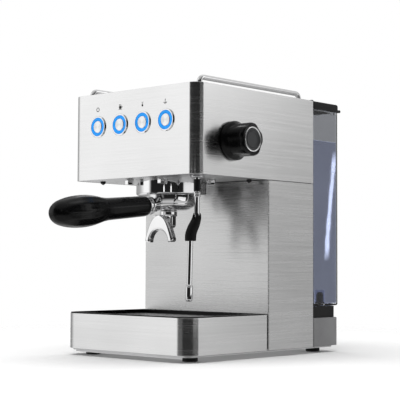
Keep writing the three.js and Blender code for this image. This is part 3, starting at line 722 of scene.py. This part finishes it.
def symbols():
    """Flat marks on the head's front, as thin raised ink, each a little aside from its button's middle."""
    drawings = ((power_symbol, -0.8), (cup_symbol, 0.4), (water_symbol, -0.4), (steam_symbol, -1.2))
    for (drawing, aside), x in zip(drawings, BUTTON_X):
        outlines = drawing(x + aside, SYMBOL_Z)
        marks = [standing(prism(outline, -0.06, -0.01, 0.01, steps=1)) for outline in outlines]
        piece(drawing.__name__, joined(*marks), INK)


# ---- column and back ----

def column():
    b = Extent("column_front")
    sheet = standing(prism(rectangle(b.x0, b.x1, b.z0, b.z1), b.y0, b.y1, 0.35))
    # The column sheet's darker steel is painted shade from the head above it.
    piece("column_sheet", sheet, SHADED_COLUMN_STEEL, ["column_front"])
    for side in ("left", "right"):
        b = Extent(f"side_panel_{side}")
        panel = sideways(prism(rectangle(b.y0, b.y1, b.z0, b.z1), b.x0, b.x1, 0.35))
        piece(f"side_sheet_{side}", panel, SIDE_STEEL, [f"side_panel_{side}"])
    b = Extent("back_panel")
    hose_hole = circle(Extent("tank_valve").x, 48, 5, 32)
    panel = standing(prism(rectangle(b.x0, b.x1, b.z0, b.z1), b.y0, b.y1, 0.3, [hose_hole]))
    piece("back_sheet", panel, DARK_STEEL, ["back_panel"])


# ---- base ----

DRAWER_RADIUS = 18


def drawer():
    b = Extent("tray_skin")
    skin = prism(wrap_outline(b.x1, b.y0, b.y1, DRAWER_RADIUS), b.z0, b.z1, 0.4)
    piece("drawer_skin", skin, STEEL, ["tray_skin"], "drip_drawer")

    t = Extent("drip_tray")
    grid = Extent("drip_grid")
    rim = t.z1
    ledge = grid.z0 - 0.3
    wall = SHEET + 0.3
    levels = [
        (wall + 0.5, t.z0), (wall, t.z0 + 0.8), (wall, b.z1 + 0.3), (0.5, b.z1 + 0.3), (0.3, b.z1 + 0.5),
        (0.3, rim - 0.35), (0.6, rim), (wall + 1.6, rim), (wall + 2, rim - 0.5), (wall + 2, ledge),
        (wall + 5, ledge), (wall + 5, t.z0 + 3.5), (wall + 7, t.z0 + 2.3),
    ]
    tray = stacked(b.x1, b.y0, b.y1, levels, (DRAWER_RADIUS, 2), (3, 1.2), 12)
    piece("drip_basin", tray, BLACK, ["drip_tray"], "drip_drawer")

    plate = round_rect(*grid.plan, DRAWER_RADIUS - wall - 2.6, 2, 12)
    middle = (b.y0 + b.y1) / 2
    slots_aside, pitch, row_gap = 6, 13.2, 56
    length, width = 46, 4.4
    places = [(column * pitch, middle + row * row_gap)
              for row in (-0.5, 0.5) for column in range(-slots_aside, slots_aside + 1)]
    holes = [slot_outline(x, y, length, width, False) for x, y in places]
    plate = prism(plate, grid.z0, grid.z1, 0.25, holes)
    piece("drip_plate", plate, GRID_STEEL, ["drip_grid"], "drip_grid")


def base():
    b = Extent("base_plate")
    sheet, hem_half, hem_depth = 1.8, 85, 1.5
    plate = prism(round_rect(*b.plan, 8, 8), b.z1 - sheet, b.z1, 0.4)
    hem = prism(rectangle(-hem_half, hem_half, b.y0, b.y0 + hem_depth), b.z0, b.z1 - 1, 0.5)
    piece("bottom_plate", joined(plate, hem), DARK_STEEL, ["base_plate"])
    for corner in ("front_left", "front_right", "rear_left", "rear_right"):
        f = Extent(f"foot_{corner}")
        r = f.half_width
        profile = [
            (0, 0), (r - 1.6, 0), (r - 1.1, 0.35), (r - 0.4, 0.5), (r, 1.2), (r - 0.3, f.z1), (0, f.z1)]
        foot = moved(lathe(profile, 64, 0.3), f.x, f.y)
        piece(f"rubber_foot_{corner}", foot, RUBBER, [f"foot_{corner}"])


# ---- group ----

def group():
    radius, bore = GROUP.half_width, 34.6
    z0, z1 = GROUP.z0, GROUP.z1
    profile = [(bore, z0 + 0.2), (bore + 0.8, z0), (radius - 1.6, z0), (radius, z0 + 1.5), (radius, z1),
               (bore, z1)]
    ledges = [sector(30.4, bore + 0.4, turn - 23, turn + 93, z0 + 0.1, z0 + 3.4) for turn in (0, 180)]
    ring = joined(lathe(profile, 144, 0.6), *ledges)
    piece("group_ring", moved(ring, GROUP.x, GROUP.y), CHROME, ["group_collar"])
    for side in ("left", "right"):
        b = Extent(f"group_bolt_{side}")
        bolt = moved(bolt_shape(b), b.x, b.y)
        piece(f"bolt_{side}", bolt, CHROME, [f"group_bolt_{side}"])


def bolt_shape(b):
    """A hexagon bolt, head down, with a washer face under the plate."""
    reach = b.half_width
    head_top = b.z0 + 5
    head = prism(softened(circle(0, 0, reach, 6), 0.4, 2, True), b.z0, head_top + 0.2, 0.5)
    washer = rod(reach, head_top, head_top + 1.4, soft=0.2)
    return joined(head, washer, rod(3, head_top, b.z1, 32))


# ---- portafilter ----

HANDLE_DROP = 5.5  # degrees below level
HANDLE_START = Vector((0, 21.4, 173.2))  # the grip's inner end, on the handle's axis


def along_handle(shape):
    """A shape turned about Z, laid along the handle with its top at the handle's end."""
    return moved(turned(shape, "X", 90 + HANDLE_DROP), *HANDLE_START)


def portafilter():
    bottom, top, radius, inside = 168.6, 195.5, 29.8, 27.8
    profile = [
        (3, bottom + 0.4), (3.5, bottom), (12, bottom), (19, bottom + 1.1), (24.4, bottom + 4),
        (28, bottom + 8.6), (29.4, bottom + 13.4), (radius, bottom + 18), (radius, top - 0.4),
        (radius - 0.4, top), (28.2, top), (inside, top - 0.4), (inside, 175.6), (24.5, 172.2), (3, 172),
    ]
    bowl = moved(lathe(softened(profile, 2.5, 4, True), 128), 0, GROUP.y)
    lugs = [moved(sector(29, 34.2, turn - 21, turn + 21, 190.9, 195.2), 0, GROUP.y) for turn in (0, 180)]
    profile = [(0, -24), (6.4, -24), (7.2, -20), (8.3, -15), (9.3, -10.8), (9.9, -9.3), (6.8, -9.2),
               (6.8, 39), (0, 39)]
    neck = along_handle(lathe(profile, 64))
    hollow = [(0, 172.1), (24, 172.1), (27.6, 176), (27.6, 200), (0, 200)]
    arm = combined(neck, [moved(lathe(hollow, 64), 0, GROUP.y)])
    body = joined(bowl, arm, *lugs)
    piece("portafilter_bowl", body, CHROME, ["portafilter_body"], "portafilter")

    b = Extent("filter_basket")
    profile = [
        (0, b.z0), (24.6, b.z0), (27.3, b.z0 + 2.6), (27.3, b.z1 - 0.8), (b.half_width, b.z1 - 0.8),
        (b.half_width, b.z1), (26.7, b.z1), (26.7, b.z0 + 2.8), (24.2, b.z0 + 0.7), (0, b.z0 + 0.7),
    ]
    basket = moved(lathe(profile, soft=0.3), 0, GROUP.y)
    piece("basket", basket, DULL_CHROME, ["filter_basket"], "portafilter")

    bore, low, high = 7.1, 10.1, 10.8
    profile = [
        (bore, -9), (10.2, -9), (high, -8.2), (high, -5.6), (low, -5), (low, -4.2), (high, -3.6),
        (high, -0.5), (10.4, -0.2), (bore, -0.2),
    ]
    ferrule = along_handle(lathe(profile, soft=0.3))
    piece("handle_collar", ferrule, CHROME, ["handle_ferrule"], "portafilter")
    piece("handle", along_handle(handle_shape()), BLACK, ["handle_grip"], "portafilter")


def clamped(share):
    return max(0.0, min(1.0, share))


def handle_shape():
    """The grip: a slim stem that swells into a rounded, slightly ribbed palm end."""
    bore = [(0, 40), (7.1, 40)]
    stem = [(7.1, 0.1), (10.6, 0.1), (11.5, 1.0), (11.8, 4), (12.0, 20), (12.2, 36), (12.4, 50), (12.6, 60)]
    palm = [
        (13.4, 67), (14.9, 73), (16.2, 79), (17.1, 85), (17.7, 92), (17.85, 99), (17.6, 106), (17.1, 113),
        (16.3, 119), (15.2, 124.5), (13.7, 129.5), (11.8, 133.6), (9.4, 137), (6.4, 139.4), (3.2, 140.4),
        (0, 140.7),
    ]
    ribs, ribs_start, ribs_end, fade = 12, 64, 132, 14
    rings = []
    for radius, z in softened(bore + stem + palm, 1.6):
        depth = 0.28 * clamped((z - ribs_start) / fade) * clamped((ribs_end - z) / fade)
        ring = []
        for angle in full_turn(96):
            reach = radius - depth + depth * cos(ribs * angle)
            ring.append((reach * cos(angle), reach * sin(angle), z))
        rings.append(ring)
    return loft(rings)


def spout():
    """An arched lip that spreads out to two toes, on a thicker block that screws under the bowl."""
    b = Extent("spout")
    half, top, bottom = 22, 164.5, b.z0
    arch, arch_height, toe = 14.8, 14.5, 4
    lip_back = b.y0 + 9
    outer = bezier([(0, top), (12, top - 0.8), (16.5, bottom + 19), (half, bottom + toe)], 18)
    outer += bezier([(half, bottom + toe), (half + 0.5, bottom), (half - toe, bottom)], 8)[1:]
    under = [(arch * cos(a), bottom + arch_height * sin(a)) for a in (radians(5 * i) for i in range(19))]
    right = outer + under
    left = [(-x, z) for x, z in right[-2:0:-1]]
    lip = standing(prism(right + left, b.y0, lip_back, 2.4, steps=6))
    block = round_rect(-15.5, 15.5, 148.5, top, 4, 3)
    block = standing(prism(block, lip_back - 2.5, b.y0 + 15, 1.8, steps=5))
    profile = [(0, 162), (9, 162), (10.2, 163), (10.2, 167.8), (9.8, 168.3), (0, 168.3)]
    collar = moved(lathe(profile, soft=0.4), 0, GROUP.y - 4.5)
    shape = joined(lip, block, collar)
    piece("double_spout", shape, CHROME, ["spout"], "portafilter", sharp=45)


# ---- steam wand ----

WAND_BEND = Vector((79.1, 13.7, 140))  # the corner where the lower run begins
WAND_TIP = Vector((78, 12.6, 65.7))
WAND_RUN = WAND_TIP - WAND_BEND
WAND_RADIUS = 2.9


def wand():
    nut = Extent("wand_socket")
    x, y, z = nut.x, nut.y, nut.z0
    thread, inside, shoulder = 3.4, 6.4, 213.4
    profile = [(4.6, z), (6.8, z), (7.6, z + 0.9), (7.6, nut.z1), (thread, nut.z1), (thread, shoulder),
               (inside, shoulder), (inside, 203.8), (4.6, 203.8)]
    nut_shape = lathe(profile, soft=0.35)
    piece("wand_nut", moved(nut_shape, x, y), DULL_CHROME, ["wand_socket"])

    path = bent_path([(x, y, 205), (x, y, 158), WAND_BEND, WAND_BEND + WAND_RUN * 0.75], 22, 16)
    tube = sweep(path, WAND_RADIUS, 36)
    ball_radius = 5.2
    half_turn = [radians(a) for a in range(0, 181, 6)]
    ball = lathe([(ball_radius * sin(a), -ball_radius * cos(a)) for a in half_turn], 48)
    profile = [(0, 180.6), (3.3, 180.6), (4, 181.3), (4, 182.6), (3.7, 182.9), (3.7, 184), (4, 184.3),
               (4, 185.7), (3.4, 186.4), (0, 186.4)]
    collar = lathe(profile, soft=0.25)
    pipe = joined(tube, moved(ball, x, y, 208), moved(collar, x, y))
    piece("wand_pipe", pipe, CHROME, ["wand_tube"], "steam_wand")

    s = Extent("wand_sleeve")
    inside, outside = 3.25, 3.8
    profile = [(inside, s.z0), (3.7, s.z0), (outside, s.z0 + 0.4), (outside, s.z1 - 0.6), (3.55, s.z1),
               (inside, s.z1)]
    sleeve = moved(lathe(profile, 48, 0.2), x, y)
    piece("wand_heat_sleeve", sleeve, BLACK_MATT, ["wand_sleeve"], "steam_wand")
    piece("wand_rubber_grip", rubber_grip(path), RUBBER, ["wand_grip"], "steam_wand")
    piece("wand_tip", wand_tip(), CHROME, ["wand_nozzle"], "steam_wand")


def wand_tip():
    """A nozzle with a groove near its top, in line with the pipe's lower run."""
    r, length, hole = 4.1, 18, 1.1
    profile = [
        (0, 9), (hole, 9), (hole, 0.2), (1.5, 0), (2.4, 0), (3.3, 0.9), (3.9, 2.6), (r, 5.2),
        (r - 0.1, length - 2.4), (r - 0.5, length - 2.1), (r - 0.5, length - 1.4),
        (r - 0.1, length - 1.1), (r - 0.8, length), (0, length),
    ]
    points, faces = lathe(profile, 64, 0.3)
    lean = Vector((0, 0, 1)).rotation_difference(-WAND_RUN).to_matrix()
    return moved(([tuple(lean @ Vector(p)) for p in points], faces), *WAND_TIP)


def rubber_grip(path):
    """A sleeve over the pipe's bend, with pointed petals at its top."""
    top, bottom = 163.3, 132.2
    petals, petal_height, petal_turn = 4, 8.5, 0.09
    thin, thick, bore, rounding = 4.2, 6.5, 3.25, 0.35
    swell_rate, taper, taper_start = 2.2, 0.35, 0.6
    rows = 24
    outer, inner = [], []
    for row in range(rows + 1):
        outer_ring, inner_ring = [], []
        for angle in full_turn(64):
            phase = (petals * (angle / (2 * pi) + petal_turn)) % 1.0
            start = top - petal_height * (1 - abs(2 * phase - 1))
            z = start + (bottom - start) * row / rows
            down = (top - z) / (top - bottom)
            radius = thin + (thick - thin) * min(1.0, down * swell_rate)
            radius -= taper * max(0.0, down - taper_start) / (1 - taper_start)
            edge = rounding if row in (0, rows) else 0.0
            centre = point_at_height(path, z)
            direction = Vector((cos(angle), sin(angle), 0))
            outer_ring.append(tuple(centre + direction * (radius - edge)))
            inner_ring.append(tuple(centre + direction * bore))
        outer.append(outer_ring)
        inner.append(inner_ring)
    return loft(outer + inner[::-1], closed=True)


def point_at_height(path, z):
    """The point of a falling path at a height."""
    for a, b in zip(path, path[1:]):
        if a.z >= z >= b.z and a.z > b.z:
            return a.lerp(b, (a.z - z) / (a.z - b.z))
    return path[-1]


# ---- tank ----

TANK_BOX = Extent("water_tank")
VALVE = Extent("tank_valve")
TANK_WALL = 2.2
TANK_BACK = TANK_BOX.y1 - 3.5  # the hinge's ledge stands out behind it
WATER_Z = 259


def tank_skin(levels):
    return stacked(TANK_BOX.x1, TANK_BOX.y0, TANK_BACK, levels, (3, 0.8), (4.5, 1), 10)


def tank():
    b, wall = TANK_BOX, TANK_WALL
    z0, z1 = b.z0, b.z1
    shell = tank_skin([
        (2.2, z0), (0.7, z0 + 0.5), (0, z0 + 2), (0, z1 - 2.2), (0.3, z1 - 0.3), (0.6, z1),
        (wall - 0.4, z1), (wall, z1 - 0.4), (wall, z0 + wall + 1.5), (wall + 1.2, z0 + wall),
    ])
    ledge = prism(round_rect(b.x0 + 8, b.x1 - 8, b.y1 - 5, b.y1, 0.8, 3, 6), z1 - 2.1, z1 - 0.3, 0.4)
    drain = moved(rod(5, z0 - 1, z0 + 4), VALVE.x, VALVE.y)
    vessel = combined(combined(shell, [ledge], "UNION"), [drain])
    piece("tank_body", vessel, TANK, ["water_tank"], "water_tank", sharp=40)

    stem, seal, body = 4.6, 7.5, 5.5
    profile = [(0, VALVE.z0), (stem, VALVE.z0), (stem, 59.1), (seal, 59.1), (seal, 61), (body, 61.4),
               (body, 70.6), (3.2, VALVE.z1), (0, VALVE.z1)]
    valve = moved(lathe(profile, soft=0.4), VALVE.x, VALVE.y)
    piece("tank_outlet_valve", valve, BLACK_MATT, ["tank_valve"], "tank_valve")


def water():
    """A body of water a little inside the tank's wall, with room for the valve to rise."""
    floor_z = TANK_BOX.z0 + TANK_WALL
    inset = TANK_WALL + 0.25
    body = tank_skin([(inset + 1.2, floor_z + 0.25), (inset, floor_z + 1.7), (inset, WATER_Z),
                      (inset + 0.8, WATER_Z - 0.35)])
    room = moved(rod(7.9, TANK_BOX.z0, VALVE.z1 + 2.8), VALVE.x, VALVE.y)
    piece("water_body", combined(body, [room]), WATER, body="water_tank", sharp=40)


def lid():
    b = Extent("tank_lid")
    x = b.x1
    y0, y1 = b.y0, TANK_BOX.y1 - 3.3
    top = b.z1 - 1.6
    block = stacked(x, y0, y1, [
        (0.4, b.z0), (0, b.z0 + 0.5), (0, top - 2.2), (0.7, top - 0.6), (2.2, top), (8, top),
        (8.6, top - 0.5), (9.4, top - 0.5)], (3, 1), (5, 1))
    wall = 2.4
    hollow = stacked(x, y0, y1, [(wall, b.z0 - 1), (wall, top - 2.2)], (1, 1), (2.5, 2.5))
    ridge = prism(round_rect(3 - x, x - 3, y0 + 1.5, y0 + 5.5, 1.2, 1.2, 4), top - 1, b.z1, 0.8)
    parts = [ridge]
    hinge_radius, hinge_half, hinge_aside = 1.8, 19, 78
    hinge_y, hinge_z = b.y1 - hinge_radius, b.z0 + hinge_radius
    barrel = rod(hinge_radius, -hinge_half, hinge_half, 32, 0.3)
    for side in (-hinge_aside, hinge_aside):
        leaf = rectangle(side - hinge_half, side + hinge_half, y1 - 2, hinge_y)
        parts.append(facing_right(barrel, side, hinge_y, hinge_z))
        parts.append(prism(leaf, hinge_z - 1, hinge_z + 1.4, 0.2))
    cover = combined(combined(block, [hollow]), parts, "UNION")
    piece("tank_cover", cover, BLACK_MATT, ["tank_lid"], "tank_lid", sharp=38)


def dock():
    b = Extent("tank_seat")
    gland = Extent("cord_gland")
    x, wall, roof_z, cord_bore = b.x1, 2.4, 40, 6.4
    levels = [(0, b.z0), (0, b.z1 - 0.8), (0.3, b.z1 - 0.2), (0.9, b.z1)]
    block = stacked(x, b.y0, b.y1, levels, (2.5, 2.5), (6, 6))
    hollow = prism(round_rect(wall - x, x - wall, b.y0 + wall, b.y1 - wall, 1, 4), b.z0 - 1, roof_z, 0.1)
    hole = facing_front(rod(cord_bore, -5, 5), gland.x, b.y1, gland.z)
    piece("seat_block", combined(block, [hollow, hole]), GREY, ["tank_seat"])
    start, out, end = -gland.y0, -b.y1, -gland.y1
    inside, outside, flange = 3.6, 6, 8.5
    profile = [(inside, start), (outside, start), (outside, out - 0.3), (flange, out - 0.3),
               (flange, out - 2), (6.8, end), (inside, end)]
    bush = facing_front(lathe(profile, soft=0.3), gland.x, 0, gland.z)
    piece("gland_bush", bush, BLACK_MATT, ["cord_gland"])

    d = Extent("tank_dock")
    slab = prism(round_rect(*d.plan, 2, 6), d.z0, d.z1, 0.5)
    way_down = moved(rod(2.2, 46, 60, 24), VALVE.x, VALVE.y)
    piece("dock_strip", combined(slab, [way_down]), BLACK_MATT, ["tank_dock"])


# ---- inner parts, which keep their CAD shapes ----

def dress_inner_parts():
    finishes = {
        ALUMINIUM: ["group_head", "boiler"], BRASS: ["steam_valve", "valve_spindle"],
        RUBBER: ["group_gasket", "pump_cradle"], DULL_CHROME: ["shower_screen"], BOARD: ["control_board"],
        BLACK_MATT: ["pump"], SILICONE: ["suction_hose", "pressure_hose", "steam_pipe", "wand_seat"],
    }
    for material, names in finishes.items():
        for inner in (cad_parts[name] for name in names):
            if inner.material_slots:
                inner.material_slots[0].material = material
            else:
                inner.data.materials.append(material)


# ---- studio ----

CAMERA_PLACE = Vector((965.8, -942.0, 107.2))
CAMERA_YAW, CAMERA_PITCH, CAMERA_ROLL = 42.41, 3.08, -0.27  # degrees to the left, up, and over
CAMERA_LENS = 106.66  # on a 36 mm sensor


def camera():
    data = bpy.data.cameras.new("camera")
    data.lens = CAMERA_LENS
    data.sensor_width = 36
    view = added("camera", data)
    yaw = Matrix.Rotation(radians(CAMERA_YAW), 4, "Z")
    pitch = Matrix.Rotation(pi / 2 + radians(CAMERA_PITCH), 4, "X")
    roll = Matrix.Rotation(-radians(CAMERA_ROLL), 4, "Z")
    view.matrix_world = Matrix.Translation(ORIGIN + CAMERA_PLACE * MM) @ yaw @ pitch @ roll
    bpy.context.scene.camera = view


def area_light(name, place, target, width, height, power, glossy=True):
    data = bpy.data.lights.new(name, "AREA")
    data.shape = "RECTANGLE"
    data.size, data.size_y = width, height
    data.energy = power
    lamp = added(name, data)
    lamp.location = place
    lamp.rotation_euler = (Vector(target) - Vector(place)).to_track_quat("-Z", "Y").to_euler()
    lamp.visible_camera = False
    lamp.visible_glossy = glossy


def ramp(value, stops):
    """A smooth curve of grey values through (place, value) stops, places from 0 to 1."""
    made = node(value.id_data, "ValToRGB", {"Fac": value})
    made.color_ramp.interpolation = "EASE"
    elements = made.color_ramp.elements
    while len(elements) > 1:
        elements.remove(elements[-1])
    elements[0].position = stops[0][0]
    elements[0].color = (stops[0][1],) * 3 + (1,)
    for place, tone in stops[1:]:
        element = elements.new(place)
        element.color = (tone,) * 3 + (1,)
    return made.outputs["Color"]


def studio_world():
    """White for the camera. All else sees two softboxes, three small cards and a dim room."""
    world = bpy.data.worlds.new("studio")
    bpy.context.scene.world = world
    world.use_nodes = True
    tree = world.node_tree
    direction = node(tree, "TexCoord").outputs["Generated"]
    x, y, z = (node(tree, "SeparateXYZ", {"Vector": direction}).outputs[axis] for axis in "XYZ")
    azimuth = calc("ARCTAN2", x, calc("MULTIPLY", y, -1.0))
    bearing = calc("DEGREES", azimuth)
    rise = calc("DEGREES", calc("ARCSINE", z))
    turn = spread(azimuth, 0, 1, -pi, pi)
    height = spread(z, 0, 1, -1, 1)

    def around(*stops):
        """A curve over the azimuth in degrees, from -Y towards +X."""
        return ramp(turn, [((degrees + 180) / 360, tone) for degrees, tone in stops])

    def upward(*stops):
        """A curve over the elevation in degrees."""
        return ramp(height, [((sin(radians(degrees)) + 1) / 2, tone) for degrees, tone in stops])

    def window(value, low, high, soft):
        """1 between two angles in degrees, with soft edges outside them."""
        rising = spread(value, 0, 1, low - soft, low)
        return calc("MULTIPLY", rising, spread(value, 1, 0, high, high + soft))

    def lit(strength, across, up):
        return calc("MULTIPLY", calc("MULTIPLY", across, up), strength)

    left_box = lit(0.79, around((-135, 0), (-85, 0.35), (-54, 1), (-38, 1), (-24, 0)),
                   upward((-45, 0), (-12, 0.4), (7, 1), (40, 1), (55, 0)))
    right_box = lit(1.45, around((124, 0), (131, 1), (137, 1), (143.5, 0.42), (162, 0)),
                    upward((-40, 0.2), (-12, 0.42), (2, 0.33), (6.5, 0.33), (10, 1), (26, 1), (38, 0)))
    low_card = lit(0.9, window(bearing, 87, 124, 5), window(rise, 1.5, 4, 0.5))
    front_card = lit(0.2, window(bearing, -40, 4, 8), window(rise, -12, -3, 1.5))
    # A thin strip that leans a little. It shows as a bright line through the tank.
    leaning = calc("ADD", bearing, calc("MULTIPLY", rise, 0.048))
    far_strip = lit(1.9, window(leaning, -128.97, -128.85, 0.03), window(rise, 0.8, 4.8, 0.6))
    room = around((-180, 0.55), (-158, 0.4), (-148, 0.3), (-120, 0.32), (-95, 0.16), (-70, 0.2), (-50, 0.35),
                  (-38, 0.35), (-24, 0.015), (125, 0.015), (136, 0.12), (150, 0.2), (175, 0.55))
    floor_light = lit(1, around((-170, 0.2), (-140, 0.8), (-34, 0.7), (-18, 0.55), (130, 0.55), (150, 0.3)),
                      upward((-34, 1), (-13, 0)))
    total = upward((24, 0), (50, 0.4), (80, 0.5))
    for light in (left_box, right_box, low_card, front_card, far_strip, room, floor_light):
        total = calc("ADD", total, light)
    seen = node(tree, "LightPath").outputs["Is Camera Ray"]
    shown = node(tree, "Mix", {0: seen, 2: total, 3: 1.0})
    tree.links.new(shown.outputs[0], tree.nodes["Background"].inputs["Color"])


def floor():
    """A pale table top that fades into the white behind it."""
    outline = [(x, y, -0.01) for x, y in circle(0, 0, 1600, 64)]
    mesh = clean_mesh((outline, [tuple(range(len(outline)))]), MM, ORIGIN)
    table = added("floor", mesh)
    material, tree, shader = new_material(
        "pale_floor", {"Base Color": (0.78, 0.78, 0.78, 1), "Roughness": 0.9, "Specular IOR Level": 0.0})
    place = node(tree, "TexCoord").outputs["Object"]
    reach = node(tree, "VectorMath", {0: place}, operation="LENGTH").outputs["Value"]
    fade_start, fade_end = 0.34, 0.75
    feed(shader, {"Alpha": spread(reach, 1, 0, fade_start, fade_end)})
    mesh.materials.append(material)
    table.visible_glossy = False


def studio():
    bpy.context.scene.view_settings.view_transform = "Standard"
    studio_world()
    floor()
    area_light("top_light", (0, -0.1, 1.5), (0, 0, 0.1), 1.6, 1.6, 28, glossy=False)
    area_light("wand_card", (0.27, 0, 0.107), (0.06, -0.06, 0.107), 0.2, 0.08, 0.045)
    bowl = Vector((-0.015, -0.01, 0.191))
    reach, rise = 0.25, 0.009
    for turn in (22, 43):
        place = bowl + Vector((reach * sin(radians(turn)), -reach * cos(radians(turn)), rise))
        area_light(f"low_bar_{turn}", place, bowl, 0.014, 0.02, 0.0012)


camera()
studio()
head_casing()
underside()
top_plate()
rail("left")
rail("right")
for index in range(1, 5):
    button(index)
symbols()
knob()
column()
drawer()
base()
group()
portafilter()
spout()
wand()
tank()
water()
lid()
dock()
dress_inner_parts()
